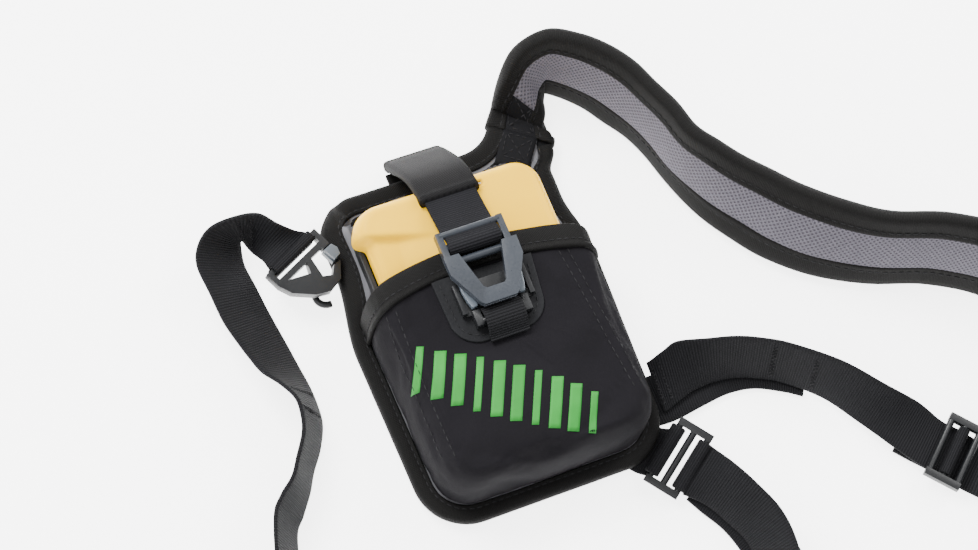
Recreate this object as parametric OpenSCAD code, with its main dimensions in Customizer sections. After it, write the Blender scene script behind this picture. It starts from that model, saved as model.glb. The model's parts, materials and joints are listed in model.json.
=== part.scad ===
// Avalanche transceiver in its carrying pouch: neoprene pocket on a padded panel,
// closure strap with a squeeze buckle, shoulder strap and waist belt.
// X runs across the pouch, Y up the pouch, Z out of its front. Units: mm.

/* [Transceiver] */
// Width across the case
dev_w = 72; // [66:0.5:76]
// Length of the case, battery end to head
dev_l = 108; // [104:0.5:108]
// Thickness of the case
dev_t = 27; // [22:0.5:27]
// Wall of the plastic shells
shell_wall = 2; // [1.5:0.1:2.5]
// Travel of the two keys
key_travel = 0.8; // [0.4:0.1:1]

/* [Pouch] */
// Thickness of the back panel
panel_t = 4.6; // [4:0.1:4.6]
// Width of the edge binding seen from the front
bind_w = 6.4; // [5:0.1:6.4]
// Neoprene thickness of the front pocket
neoprene = 2.5; // [2:0.1:2.5]

/* [Webbing] */
// Width of the straps that pass through the fittings
web_w = 20; // [18:0.5:20]
// Thickness of the webbing
web_t = 1.5; // [1:0.1:1.5]
// Thickness of the padded shoulder strap
pad_t = 4; // [3:0.5:4]

/* [Hidden] */
$fn = 48;

black = [0.07, 0.07, 0.08];
yellow = [0.95, 0.82, 0.25];
slate = [0.25, 0.28, 0.32];
light_grey = [0.6, 0.64, 0.68];

// Neck of the shoulder strap: direction and the two ends of its joint line
neck_dir = [0.588, 0.809];
neck_side = [0.809, -0.588];
neck_l = [30.4, 75.7];
neck_r = [51.4, 60.5];

// Case position: head up, display towards the panel
dev_x = -1.5;
dev_top = 50;
dev_z0 = 6;
dev_z1 = dev_z0 + dev_t;
split_z = dev_z0 + 13;
pocket_front = dev_z1 + 0.3 + neoprene;
patch_top = pocket_front + 1.2;

// Buckle and closure strap
bx = -1.5;
bar_y = 21;
bar_z = 41;
closure_path = [[73, 3], [67.6, 11.4], [56, 29.2], [49.5, 35], [44, 36.3], [39, 37],
  [30, 38.4], [25.4, 39.2], [23, 42.4]];

// Stations of each strap: [lower edge, upper edge], both [x, y, z]
shoulder = [[[47.3, 54.8, 0.8], [26.3, 70, 0.8]], [[51.4, 60.5, 0.8], [30.4, 75.7, 0.8]],
  [[51.6, 61.8, 0.8], [31.2, 77, 0.8]], [[52.4, 68, 1.2], [36.8, 84, 0.9]],
  [[52.8, 75, 1.2], [38, 87.5, 15]], [[54, 82, 1.2], [45, 93, 28]],
  [[58, 86.5, 1.2], [57, 93, 36]], [[64, 83, 1.2], [68, 87, 37]],
  [[72, 75, 1.2], [77, 79, 37]], [[78, 66, 1.2], [84, 70, 36]], [[84, 57, 1.2], [88, 60, 36]],
  [[88, 47, 1.2], [92, 49, 37]], [[91, 36, 1.2], [95, 38, 37]],
  [[94, 26, 1.2], [101, 30, 36]], [[98, 16, 1.2], [108, 22, 34]],
  [[104, 6, 1.2], [116, 14, 33]], [[113, -6, 1.2], [125, 4, 33]],
  [[127, -18, 1.2], [137, -7, 34]], [[146, -28, 1.2], [152, -17, 34]],
  [[168, -36, 1.2], [174, -26, 35]], [[188, -49, 1.2], [195, -42, 36]],
  [[200, -68, 1.2], [207, -66, 36]], [[201, -88, 2], [208, -91, 35]],
  [[192, -104, 5], [198, -110, 31]], [[183, -110, 8], [187, -117, 28]]];
shoulder_route = [[[190, -105, 5], [196, -112, 30]], [[183, -110, 8], [187, -117, 27.5]],
  [[176, -115, 5], [178, -126, 21]], [[169, -116, 3], [167, -131, 15]],
  [[164, -113, 0.3], [154, -129, 5]], [[160, -106, 0.2], [145, -119, 0.2]],
  [[154, -98, 0.2], [139, -111, 0.2]], [[145, -88, 0.2], [130, -101, 0.2]],
  [[140, -82, 0.2], [125, -95, 0.2]]];
side_route = [[[40, -53, 2], [40, -33, 2]], [[50, -52.5, 2], [51, -32.5, 2.4]],
  [[56, -50.5, 2], [57, -31.5, 8]], [[63, -48, 2], [62, -31, 13]],
  [[72, -47, 2], [72, -35, 18]], [[80, -48, 2], [82, -38, 19]],
  [[88, -51, 2], [91, -42, 19]], [[97, -56, 2], [101, -48, 19]],
  [[109, -67, 2], [116, -60, 18]], [[118, -81, 2], [129, -73, 14]],
  [[125, -93, 2], [140, -82, 7]], [[132, -104, 2], [147, -91, 2.2]],
  [[138, -110.5, 2], [153, -97.5, 2]], [[142, -115, 2], [157, -102, 2]]];
side_under_route = [[[46.8, -56.2, 0.2], [46.8, -37, 0.2]],
  [[51, -56.4, 0.2], [51, -37, 0.2]], [[56, -56, 0.2], [57, -36.5, 0.2]],
  [[66, -54.5, 0.2], [67, -35, 0.2]], [[76, -53.5, 0.2], [78, -34.5, 0.2]],
  [[86, -55, 0.2], [91, -37, 0.2]], [[96, -60, 0.2], [104, -43, 0.2]],
  [[102, -64, 0.2], [112, -48, 0.2]]];
belt = [[[43.7, -83.9, 2.8], [59.3, -72, 8.8]], [[50.5, -90, 2.4], [62.5, -82, 16]],
  [[55, -98, 2.4], [67, -92, 17]], [[59, -107, 2.4], [71, -104, 18]],
  [[60, -117, 2.4], [71, -117, 19]], [[58, -128, 2.2], [67, -132, 20]],
  [[51, -138, 2], [58, -145, 20]], [[40, -146, 1], [44, -154, 19]],
  [[25, -151, 0.4], [27, -159, 19]], [[8, -154, 0.4], [9, -161, 19]],
  [[-10, -155, 0.4], [-10, -162, 19]], [[-32, -153, 0.4], [-34, -160, 19]],
  [[-54, -147, 0.4], [-57, -154, 19]], [[-74, -137, 0.4], [-79, -143, 19]],
  [[-90, -123, 0.4], [-97, -127, 19]], [[-99, -106, 0.4], [-107, -107, 19]],
  [[-101, -88, 0.4], [-109, -87, 19]], [[-99, -70, 0.4], [-107, -66, 19]],
  [[-94, -50, 0.4], [-101, -45, 19]], [[-89, -43, 0.4], [-96, -38, 19]],
  [[-84, -36, 0.4], [-90, -33, 20]], [[-80, -29, 0.4], [-86, -27, 20]],
  [[-75, -22, 0.4], [-81, -19, 20]], [[-71, -14, 0.4], [-79, -12, 19]],
  [[-70, -7, 0.4], [-79, -6, 19]], [[-70, 1, 0.4], [-82, 1, 17]],
  [[-71, 10, 0.4], [-86, 8, 14]], [[-72, 19, 0.4], [-88, 15, 12]],
  [[-73, 27, 0.4], [-90, 23, 11]], [[-74, 35, 0.4], [-92, 32, 11]],
  [[-75, 44, 0.8], [-93, 43, 12]], [[-76, 53, 1.2], [-94, 55, 13]],
  [[-75, 60, 1.6], [-91, 62, 15]], [[-74, 63, 2], [-85, 66, 18]],
  [[-73, 63.5, 2.5], [-76, 66, 21]], [[-72, 61, 3], [-67, 64, 22]],
  [[-71, 56, 5], [-61, 59, 19]], [[-69.7, 50, 9], [-55, 55.6, 14]],
  [[-69.1, 44.9, 11.4], [-51.3, 53.9, 11.8]], [[-67.5, 41, 11.8], [-49.6, 50, 11.8]]];
tail_route = [[[44.6, -85.4, 0.2], [60.6, -73.4, 0.2]], [[48, -92, 0.2], [64, -81, 0.2]],
  [[53, -101, 0.2], [70, -92, 0.2]], [[56, -112, 0.2], [75, -106, 0.2]],
  [[57, -124, 0.2], [77, -122, 0.2]], [[56, -132, 0.2], [76, -133, 0.2]]];

back_panel();
panel_lining();
panel_binding();
front_pocket();
pocket_hem();
rubber_patch();
anchor_loop();
buckle_socket();
release_tab_left();
release_tab_right();
buckle_plug();
closure_webbing();
closure_sleeve();
closure_root();
neck_patch();
side_loop();
shoulder_strap_upper();
shoulder_strap_middle();
shoulder_strap_lower();
shoulder_mesh();
shoulder_binding();
shoulder_webbing();
shoulder_adjuster();
side_webbing();
side_webbing_under();
belt_anchor();
belt_adjuster();
belt_webbing_right();
belt_webbing_middle();
belt_webbing_left();
belt_webbing_bend();
belt_tail();
hook_body();
hook_gate();
rear_shell();
front_shell();
shell_seal();
display_window();
lcd_module();
key_left();
key_right();
mode_switch();
switch_lock();
battery_door();
door_screw();
batteries();
battery_contacts();
main_board();
antenna_long();
antenna_cross();
antenna_vertical();
speaker();
light_pipe();
case_screws();
lanyard_pin();

// ---- geometry helpers ----

function arc(cx, cy, r, a0, a1, n) =
  [for (i = [0:n]) let (a = a0 + (a1 - a0) * i / n) [cx + r * cos(a), cy + r * sin(a)]];

// Panel outline, inset by d; ext moves the open neck end along the strap
function outline(d, ext) = concat(
  arc(-28, -48, 20 - d, 180, 270, 12),
  arc(28, -48, 20 - d, 270, 360, 12),
  [[50.5 - d, 30], [51.2 - d, 60.2 + 0.325 * d]],
  [neck_r - d * neck_side + ext * neck_dir, neck_l + d * neck_side + ext * neck_dir],
  arc(16.6, 84, 16 + d, -36, -90, 8),
  arc(-33, 50, 18 - d, 90, 180, 12));

// Catmull-Rom between hand-chosen stations, k steps in each gap
function knot(p, i) = p[max(0, min(len(p) - 1, i))];
function spline(a, b, c, d, t) =
  0.5 * ((2 * b) + (c - a) * t + (2 * a - 5 * b + 4 * c - d) * t * t
    + (3 * b - a - 3 * c + d) * t * t * t);
function refine(p, k) = concat(
  [for (i = [0:len(p) - 2]) for (j = [0:k - 1])
    spline(knot(p, i - 1), p[i], p[i + 1], knot(p, i + 2), j / k)],
  [p[len(p) - 1]]);
function unit(v) = v / norm(v);
function middle(s) = (s[0] + s[1]) / 2;
function heading(p, i) =
  middle(knot(p, i + 1)) - middle(knot(p, i - 1));

// Sweep a section [[across 0..1, out in mm]...] between the two edges of a route, from
// station span[0] to span[1]. Neighbours along or across a route share the same facets.
module ribbon(route, section, k = 4, span = [0, 99], ends = undef) {
  p = refine(route, k);
  i0 = span[0] * k;
  n = min(span[1] * k, len(p) - 1) - i0 + 1;
  m = len(section);
  pts = [for (i = [i0:i0 + n - 1])
    let (w = p[i][1] - p[i][0], up = unit(cross(heading(p, i), w)))
    for (s = section) p[i][0] + s[0] * w + s[1] * up];
  walls = [for (i = [0:n - 2]) for (j = [0:m - 1])
    let (s = section[j], t = section[(j + 1) % m],
      a = i * m + j, b = i * m + (j + 1) % m, c = b + m, d = a + m)
    each ((s[0] < t[0] || (s[0] == t[0] && s[1] < t[1]))
      ? [[a, b, c], [a, c, d]] : [[a, b, d], [b, c, d]])];
  end = is_undef(ends) ? [[for (j = [0:m - 1]) j]] : ends;
  caps = [for (e = end) each [[for (j = [len(e) - 1:-1:0]) e[j]],
    [for (j = e) (n - 1) * m + j]]];
  polyhedron(points = pts, faces = concat(walls, caps), convexity = 10);
}

function flat_section(lo, hi) = [[0, lo], [0, hi], [1, hi], [1, lo]];

// Closed outline of a band of thickness t along an open path
function side_of(p, i) =
  let (h = unit(knot(p, i + 1) - knot(p, i - 1))) [-h[1], h[0]];
function band(p, t) = concat(
  [for (i = [0:len(p) - 1]) p[i] + side_of(p, i) * t / 2],
  [for (i = [len(p) - 1:-1:0]) p[i] - side_of(p, i) * t / 2]);

// Extrude a [y, z] profile across the pouch, centred on x
module across(x, w) {
  translate([x - w / 2, 0, 0]) rotate([90, 0, 90]) linear_extrude(w) children();
}

module bar_x(x, y, z, r, w) {
  translate([x - w / 2, y, z]) rotate([0, 90, 0]) cylinder(h = w, r = r);
}

// ---- pouch ----

// Recesses in the panel's back where the strap ends are sewn on
module strap_recesses() {
  translate([46.4, -58, -1]) cube([12, 22.5, 2.9]);
  translate([28, -49, -1]) rotate([0, 0, -53.1]) translate([4, -10.8, 0])
    cube([26, 21.6, 2.9]);
  translate([28, -49, -1]) rotate([0, 0, -53.1]) translate([16.4, -10.8, 0])
    cube([14, 21.6, 4.5]);
  translate([bx - 11.8, 54, -1]) cube([23.6, 20, 2.9]);
}

module back_panel() {
  color([0.09, 0.09, 0.1]) difference() {
    union() {
      linear_extrude(panel_t) polygon(outline(6.5, 0));
      translate([0, 0, 1]) linear_extrude(2.6) polygon(outline(1, 0));
      intersection() {
        translate([0, 0, 1]) linear_extrude(4.2) difference() {
          polygon(outline(1, 0));
          polygon(outline(6.5, 1));
        }
        translate([-60, 15.5, 0]) cube([120, 80, 10]);
      }
    }
    strap_recesses();
  }
}

module panel_lining() {
  color([0.5, 0.5, 0.52]) translate([0, 0, panel_t]) linear_extrude(0.6) difference() {
    polygon(outline(9.2, 0));
    translate([32.7, 56.8]) rotate(54) translate([0, -30]) square([40, 60]);
  }
}

module panel_binding() {
  color(black) difference() {
    linear_extrude(5.7) polygon(outline(0, 0));
    translate([0, 0, 1]) linear_extrude(4.2) polygon(outline(1, 1));
    translate([0, 0, -1]) linear_extrude(10) polygon(outline(bind_w, 1));
    strap_recesses();
  }
}

// Rounded block of the pocket grown by g, from the panel to the front face
module pocket_block(g, z0, z1) {
  hull() {
    for (x = [-1, 1]) {
      translate([x * 27.9, -48, z0]) cylinder(h = 20, r = 11 + g, $fn = 32);
      translate([x * 30.6, 40, z0]) cylinder(h = 20, r = 11 + g, $fn = 32);
      translate([x * 28, -48.5, z1 - 3]) cylinder(h = 0.1, r = 8.8 + g, $fn = 32);
      translate([x * 29, 40, z1 - 3]) cylinder(h = 0.1, r = 8.8 + g, $fn = 32);
      translate([x * 28, -49, z1 - 0.1]) cylinder(h = 0.1, r = 6 + g, $fn = 32);
      translate([x * 28, 40, z1 - 0.1]) cylinder(h = 0.1, r = 6 + g, $fn = 32);
    }
  }
}

// Everything on the pouch side of the arched pocket mouth
module mouth_zone(r0, r1) {
  translate([-3, -129.5, 0]) difference() {
    cylinder(h = 50, r = r1, $fn = 180);
    if (r0 > 0) translate([0, 0, -1]) cylinder(h = 60, r = r0, $fn = 180);
  }
}

module front_pocket() {
  color([0.06, 0.055, 0.065]) difference() {
    union() {
      intersection() {
        pocket_block(neoprene, panel_t, pocket_front);
        mouth_zone(0, 151);
      }
      intersection() {
        union() {
          translate([0, 0, 3.6]) linear_extrude(1.6) difference() {
            polygon(outline(1.1, 0));
            polygon(outline(6.5, 0));
          }
          translate([0, 0, panel_t]) linear_extrude(0.6) difference() {
            polygon(outline(6, 0));
            polygon(outline(8, 0));
          }
        }
        translate([-60, -80, 0]) cube([120, 95.4, 10]);
      }
    }
    pocket_block(0, panel_t - 0.1, pocket_front - neoprene);
  }
}

module pocket_hem() {
  color(black) intersection() {
    difference() {
      pocket_block(neoprene + 1.1, 6.5, pocket_front + 1.1);
      pocket_block(0, panel_t - 0.1, pocket_front - neoprene);
      intersection() {
        pocket_block(neoprene, panel_t, pocket_front);
        mouth_zone(0, 151);
      }
    }
    mouth_zone(143.5, 152);
  }
}

module closure_root() {
  color(black) translate([bx - 11.5, 54.3, 0.2]) cube([23, 16, 1.6]);
}

module neck_patch() {
  color([0.1, 0.1, 0.11]) union() {
    translate([0, 0, panel_t]) linear_extrude(1) intersection() {
      polygon(outline(bind_w + 0.2, 0));
      translate([32.7, 56.8]) rotate(54) translate([0.1, -30]) square([40, 60]);
    }
    ribbon(shoulder, face_section, 4, [1, 4]);
  }
}

module side_loop() {
  color(black) translate([-51.6, 32, 3.6]) union() {
    rotate([0, 0, 90]) rotate_extrude(angle = 180) translate([4, 0]) circle(r = 1.3);
    for (y = [-4, 4]) translate([0, y, 0]) rotate([0, 90, 0]) cylinder(h = 0.8, r = 1.3);
  }
}

// ---- closure buckle ----

module rubber_patch() {
  color([0.16, 0.17, 0.18]) translate([bx, 0, pocket_front]) linear_extrude(1.2)
    polygon(concat([[-19.5, 12.8]], arc(-8.5, -4, 10.5, 190, 270, 8),
      arc(6.5, -4, 10.5, 270, 350, 8), [[19, 11.6]]));
}

module anchor_loop() {
  color(black) union() {
    across(bx, 13) difference() {
      translate([-8.2, 39.9]) circle(r = 2.6);
      translate([-8.2, 39.9]) circle(r = 1.65);
    }
    across(bx, 13) polygon([[-12.6, patch_top], [-12.6, patch_top + 1.2], [-9.6, 38.6],
      [-8.9, 37.45], [-8.9, patch_top]]);
  }
}

module buckle_socket() {
  color([0.12, 0.13, 0.14]) translate([bx, 0, 0]) union() {
    translate([0, -1.2, patch_top + 0.2]) linear_extrude(1.3)
      polygon([[-10.5, 9], [10.5, 9], [12, -1], [8.5, -4], [-8.5, -4], [-12, -1]]);
    for (s = [-1, 1]) {
      translate([s * 12.9 - 0.9, -4, patch_top + 0.2]) cube([1.8, 11.5, 3.6]);
      translate([s * 11.2 - 1.2, -4.4, patch_top + 0.2]) cube([2.4, 3, 1.3]);
      translate([s * 9.2 - 1.4, -9.8, patch_top + 0.2]) cube([2.8, 6, 4.2]);
    }
    bar_x(0, -8.2, 39.9, 1.6, 16);
  }
}

// Squeeze tab: pivots on its lower end beside the plug
module release_tab() {
  linear_extrude(3) polygon([[-1.1, 0], [1.1, 0], [1.5, 3], [1.4, 7], [0.6, 10.5],
    [-0.9, 11], [-1.7, 7], [-1.6, 3]]);
}

module release_tab_left() {
  color(light_grey) translate([bx - 9, -2.9, 39.6]) rotate([0, 0, 8]) release_tab();
}

module release_tab_right() {
  color(light_grey) translate([bx + 9, -2.9, 39.6]) mirror([1, 0, 0])
    rotate([0, 0, 8]) release_tab();
}

module buckle_plug() {
  color(slate) translate([bx, 0, 0]) union() {
    for (s = [-1, 1]) translate([s * 11.7 - 1.2, 14, 39]) cube([2.4, 13.2, 4]);
    bar_x(0, 26, 41.9, 1.3, 23);
    bar_x(0, bar_y, bar_z, 1.6, 23);
    bar_x(0, 15.4, 41, 1.4, 23);
    difference() {
      translate([0, 0, 43]) linear_extrude(3.2) polygon([[-14, 16.6], [-13.8, 9.5],
        [-7.4, -3.2], [-6, -4.4], [6, -4.4], [7.4, -3.2], [13.8, 9.5], [14, 16.6],
        [8.2, 16.6], [4.4, 2.2], [3.4, 1.2], [-3.4, 1.2], [-4.4, 2.2], [-8.2, 16.6]]);
      translate([-20, -5.5, 43]) rotate([45, 0, 0]) cube([40, 2, 6]);
    }
    for (s = [-1, 1]) translate([s * 12 - 1.4, 10.5, 42]) cube([2.8, 5, 1.2]);
    translate([-5, -3, 40]) cube([10, 3.4, 3.2]);
  }
}

module closure_webbing() {
  color([0.1, 0.1, 0.11]) union() {
    across(bx, web_w) polygon(band(closure_path, web_t));
    across(bx, web_w) difference() {
      translate([bar_y, bar_z]) circle(r = 3.2);
      translate([bar_y, bar_z]) circle(r = 1.7);
    }
  }
}

module closure_sleeve() {
  sleeve_path = [for (i = [0:5]) closure_path[i]];
  color(black) difference() {
    across(bx, 23) polygon(band(sleeve_path, 4.4));
    across(bx, web_w + 0.4)
      polygon(band(concat([[74.6, 0.5]], sleeve_path, [[35, 37.6]]), 1.7));
  }
}

// ---- shoulder strap ----

core_section = [[0, 0], [0, pad_t], [0.27, pad_t], [0.73, pad_t], [1, pad_t], [1, 0],
  [0.73, 0], [0.27, 0]];
core_ends = [[0, 1, 2, 7], [7, 2, 3, 6], [6, 3, 4, 5]];
face_section = [[0.27, pad_t], [0.27, pad_t + 0.6], [0.73, pad_t + 0.6], [0.73, pad_t]];
edge_section = [[-0.022, -0.8], [-0.022, pad_t + 0.6], [0.27, pad_t + 0.6], [0.27, pad_t],
  [0, pad_t], [0, 0], [0.27, 0], [0.27, -0.8]];

module shoulder_strap_upper() {
  color(black) ribbon(shoulder, core_section, 4, [1, 7], core_ends);
}

module shoulder_strap_middle() {
  color(black) ribbon(shoulder, core_section, 4, [7, 16], core_ends);
}

module shoulder_strap_lower() {
  color(black) ribbon(shoulder, core_section, 4, [16, 24], core_ends);
}

module shoulder_mesh() {
  color([0.6, 0.58, 0.63]) ribbon(shoulder, face_section, 4, [4, 23]);
}

module shoulder_binding() {
  color(black) union() {
    ribbon(shoulder, edge_section, 4, [1, 24]);
    ribbon(shoulder, [for (i = [7:-1:0]) [1 - edge_section[i][0], edge_section[i][1]]], 4,
      [1, 24]);
  }
}

module shoulder_webbing() {
  color(black) ribbon([for (i = [1:8]) shoulder_route[i]], flat_section(0, web_t));
}

// Three-bar slide for 20 mm webbing, long side along X, strap along Y
module tri_glide() {
  for (x = [-1, 1]) translate([x * 12.1 - 1.4, -7, -1.3]) cube([2.8, 14, 2.6]);
  for (y = [-5.7, 0, 5.7]) bar_x(0, y, 0, 1.3, 24);
}

module shoulder_adjuster() {
  color(slate) translate([145.5, -104, 5.2]) rotate([0, 0, 40.9]) tri_glide();
}

module side_webbing() {
  color(black) union() {
    ribbon([for (i = [1:12]) side_route[i]], flat_section(0, web_t));
    translate([145.5, -104, 5.2]) rotate([0, 0, 40.9]) translate([-10, 0, 0])
      rotate([0, 90, 0]) difference() {
        cylinder(h = 20, r = 2.2);
        translate([0, 0, -1]) cylinder(h = 22, r = 1.35);
      }
  }
}

module side_webbing_under() {
  color(black) ribbon(side_under_route, flat_section(0, web_t));
}

// ---- waist belt ----

module at_belt_ring() {
  translate([46.5, -71.2, 6.6]) rotate([0, 0, 36.9]) rotate([0, -18, 0]) children();
}

module belt_anchor() {
  color(black) union() {
    at_belt_ring() translate([-10, 5.7, 0]) rotate([0, 90, 0]) difference() {
      cylinder(h = 20, r = 2.8);
      translate([0, 0, -1]) cylinder(h = 22, r = 1.35);
    }
    ribbon([[[23, -59, 0.2], [39, -47, 0.2]], [[31, -69.6, 0.2], [47, -57.6, 0.2]],
      [[34.6, -72.7, 1.4], [50.2, -61.2, 7.2]]], flat_section(0, web_t), 1);
  }
}

module belt_adjuster() {
  color(slate) at_belt_ring() tri_glide();
}

module belt_webbing_right() {
  color(black) union() {
    ribbon(belt, flat_section(0, web_t), 4, [0, 6]);
    at_belt_ring() translate([-10, -5.7, 0]) rotate([0, 90, 0]) difference() {
      cylinder(h = 20, r = 2.8);
      translate([0, 0, -1]) cylinder(h = 22, r = 1.35);
    }
  }
}

module belt_webbing_middle() {
  color(black) ribbon(belt, flat_section(0, web_t), 4, [6, 14]);
}

module belt_webbing_left() {
  color(black) ribbon(belt, flat_section(0, web_t), 4, [14, 27]);
}

// The belt's end, wrapped round the hook's bar
module belt_webbing_bend() {
  color(black) union() {
    ribbon(belt, flat_section(0, web_t), 4, [27, 38]);
    at_hook() difference() {
      translate([-10, -1.4, -4.2]) cube([20, 5.5, 8.4]);
      translate([-11, 0.2, -2.7]) cube([22, 2.4, 5.4]);
    }
  }
}

module belt_tail() {
  color(black) ribbon(tail_route, flat_section(0, web_t));
}

// ---- waist hook ----

module at_hook() {
  translate([-58.9, 46.6, 11.8]) rotate([0, 0, 26.6]) rotate([8, 0, 0]) children();
}

module hook_body() {
  color(slate) at_hook() difference() {
    translate([0, 0, -2.5]) linear_extrude(5) polygon([[-12.6, 2.4], [12.6, 2.4],
      [12.6, -5], [10.6, -13], [6, -17.6], [0, -18.4], [-5, -15.6], [-11, -9],
      [-12.6, -4]]);
    translate([-10.6, -2.2, -4]) cube([21.2, 2.6, 8]);
    translate([0, 0, -4]) linear_extrude(8) polygon([[-8.4, -4.6], [1.6, -4.6],
      [-0.6, -8.6]]);
    translate([0, 0, -4]) linear_extrude(8) polygon([[3.6, -4.6], [9.6, -4.6],
      [8, -12.2], [4.8, -14.6], [1.8, -12.4]]);
    translate([0, 0, -4]) linear_extrude(8) polygon([[8.2, -5.4], [14, -5.4],
      [14, -12.4], [8, -12.4]]);
  }
}

module hook_gate() {
  color(light_grey) at_hook() union() {
    translate([0, 0, -1.6]) linear_extrude(3.2) polygon([[8.6, -5.8], [12, -5.8],
      [11.2, -11.3], [8.6, -11.3]]);
    translate([0, 0, 1.6]) linear_extrude(3) polygon([[8.8, -6], [12.2, -6.2],
      [13, -8.6], [12, -11], [9.2, -11.2]]);
  }
}

// ---- transceiver ----

// Case block inset by g: rounded corners, softened rear edge
module case_block(g, z0, z1, low, high) {
  x0 = dev_x - dev_w / 2 + 10;
  x1 = dev_x + dev_w / 2 - 10;
  y0 = dev_top - dev_l + 10;
  y1 = dev_top - 10;
  hull() {
    for (x = [x0, x1]) for (y = [y0, y1]) {
      translate([x, y, z0 + low[1]]) cylinder(h = z1 - z0 - low[1] - high[1],
        r = 10 - g, $fn = 40);
      if (low[0] > 0) translate([x, y, z0]) cylinder(h = 0.1, r = 10 - g - low[0], $fn = 40);
      if (high[0] > 0) translate([x, y, z1 - 0.1]) cylinder(h = 0.1, r = 10 - g - high[0],
        $fn = 40);
    }
  }
}

module rear_shell() {
  color(yellow) difference() {
    case_block(0, split_z + 0.4, dev_z1, [0, 0], [4.4, 6]);
    case_block(shell_wall, split_z - 1, dev_z1 - shell_wall, [0, 0], [3, 3]);
    // grip recess beside the head
    translate([dev_x - dev_w / 2 - 1, 14, dev_z1 - 1.4]) rotate([0, 0, -10])
      cube([26, 21, 5]);
    // lanyard slot
    translate([3, 43.4, dev_z1 - 3]) cube([9, 2, 5]);
    // battery opening
    translate([dev_x - 25, -53.4, dev_z1 - 4]) cube([50, 50.4, 6]);
    // opening for the mode switch and its lock
    translate([8.6, 46, split_z + 3.2]) cube([16.8, 6, 4.8]);
    translate([-20.3, 46, split_z + 3.2]) cube([5.6, 6, 4.8]);
  }
}

module front_shell() {
  color([0.13, 0.13, 0.14]) difference() {
    case_block(0, dev_z0, split_z - 0.4, [2, 2], [0, 0]);
    case_block(shell_wall, dev_z0 + shell_wall, split_z + 1, [1, 1], [0, 0]);
    // display opening with a ledge
    translate([dev_x - 22, -8, dev_z0 - 1]) cube([44, 34, 5]);
    for (x = [-14, 14]) translate([dev_x + x, -24, dev_z0 - 1]) cylinder(h = 5, r = 6.3);
    // speaker slots
    for (i = [0:4]) translate([dev_x - 8, 32 + i * 2.4, dev_z0 - 1]) cube([16, 1.2, 5]);
  }
}

module seal_outline(g) {
  hull() {
    for (x = [dev_x - dev_w / 2 + 10, dev_x + dev_w / 2 - 10])
      for (y = [dev_top - dev_l + 10, dev_top - 10])
        translate([x, y]) circle(r = 10 - g, $fn = 40);
  }
}

module shell_seal() {
  color([0.2, 0.2, 0.22]) translate([0, 0, split_z - 0.38]) linear_extrude(0.76)
    difference() {
      seal_outline(0.5);
      seal_outline(1.7);
    }
}

module display_window() {
  color([0.1, 0.12, 0.13]) translate([dev_x - 21.8, -7.8, dev_z0 + 0.3])
    cube([43.6, 33.6, 1.6]);
}

module lcd_module() {
  color([0.45, 0.52, 0.46]) translate([dev_x - 20, -6, dev_z0 + 2.1]) cube([40, 30, 2.4]);
}

module key_cap(x) {
  color([0.3, 0.3, 0.32]) translate([dev_x + x, -24, 0]) union() {
    translate([0, 0, dev_z0 - 0.4]) cylinder(h = 3.4, r = 6);
    translate([0, 0, dev_z0 + 2.6]) cylinder(h = 0.8, r = 7.2);
  }
}

module key_left() {
  key_cap(-14);
}

module key_right() {
  key_cap(14);
}

module mode_switch() {
  color([0.2, 0.2, 0.21]) union() {
    translate([15.6, 45.6, split_z + 2.6]) cube([9.6, 2, 5.8]);
    translate([17, 47.4, split_z + 3.6]) cube([8, 3.5, 4]);
    for (x = [18.5, 20.5, 22.5]) translate([x, 50.8, split_z + 4]) cube([1, 0.6, 3.2]);
  }
}

module switch_lock() {
  color([0.3, 0.3, 0.32]) union() {
    translate([-20, 44, split_z + 3.6]) cube([5, 6.9, 4]);
    translate([-21.4, 44, split_z + 2.6]) cube([7.8, 1.6, 6]);
  }
}

module battery_door() {
  color([0.16, 0.16, 0.17]) union() {
    translate([dev_x - 24.7, -53.1, dev_z1 - 1.8]) cube([49.4, 49.8, 1.6]);
    for (x = [-16, 16]) translate([dev_x + x - 3, -3.4, dev_z1 - 3.4]) cube([6, 3.2, 1.2]);
    for (x = [-16, 16]) translate([dev_x + x - 3, -4.6, dev_z1 - 3.4]) cube([6, 1.3, 1.7]);
  }
}

module door_screw() {
  color([0.6, 0.6, 0.62]) translate([dev_x, -50, dev_z1 - 0.2]) difference() {
    cylinder(h = 0.4, r = 2.6);
    translate([-2, -0.4, 0.2]) cube([4, 0.8, 1]);
  }
}

module batteries() {
  color([0.35, 0.37, 0.4]) for (i = [-1, 0, 1]) {
    translate([dev_x + i * 14, -51, dev_z1 - 8.2]) rotate([-90, 0, 0]) union() {
      cylinder(h = 43.5, r = 5.25);
      translate([0, 0, 43.4]) cylinder(h = 1, r = 1.9);
    }
  }
}

module battery_contacts() {
  color([0.75, 0.72, 0.6]) for (i = [-1, 0, 1]) {
    translate([dev_x + i * 14 - 4, -51.8, dev_z1 - 12]) cube([8, 0.6, 8]);
    translate([dev_x + i * 14 - 4, -6.4, dev_z1 - 12]) cube([8, 0.6, 8]);
  }
}

module main_board() {
  color([0.1, 0.4, 0.22]) difference() {
    translate([dev_x - 32, -53, dev_z0 + 9]) cube([64, 85, 1.6]);
    for (x = [-30, 30]) for (y = [-48, 28]) translate([dev_x + x, y, dev_z0 + 8])
      cylinder(h = 4, r = 1.6);
  }
}

// Ferrite rod with its copper winding as a stepped cylinder, along X
module ferrite(l, r) {
  cylinder(h = l, r = r);
  translate([0, 0, l * 0.2]) cylinder(h = l * 0.6, r = r + 1.2);
}

module antenna_long() {
  color([0.35, 0.2, 0.12]) translate([dev_x - 29.4, -44, dev_z1 - 9]) rotate([-90, 0, 0])
    ferrite(66, 3.2);
}

module antenna_cross() {
  color([0.35, 0.2, 0.12]) translate([dev_x - 22, 4, dev_z1 - 9]) rotate([0, 90, 0])
    ferrite(52, 3.2);
}

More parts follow.
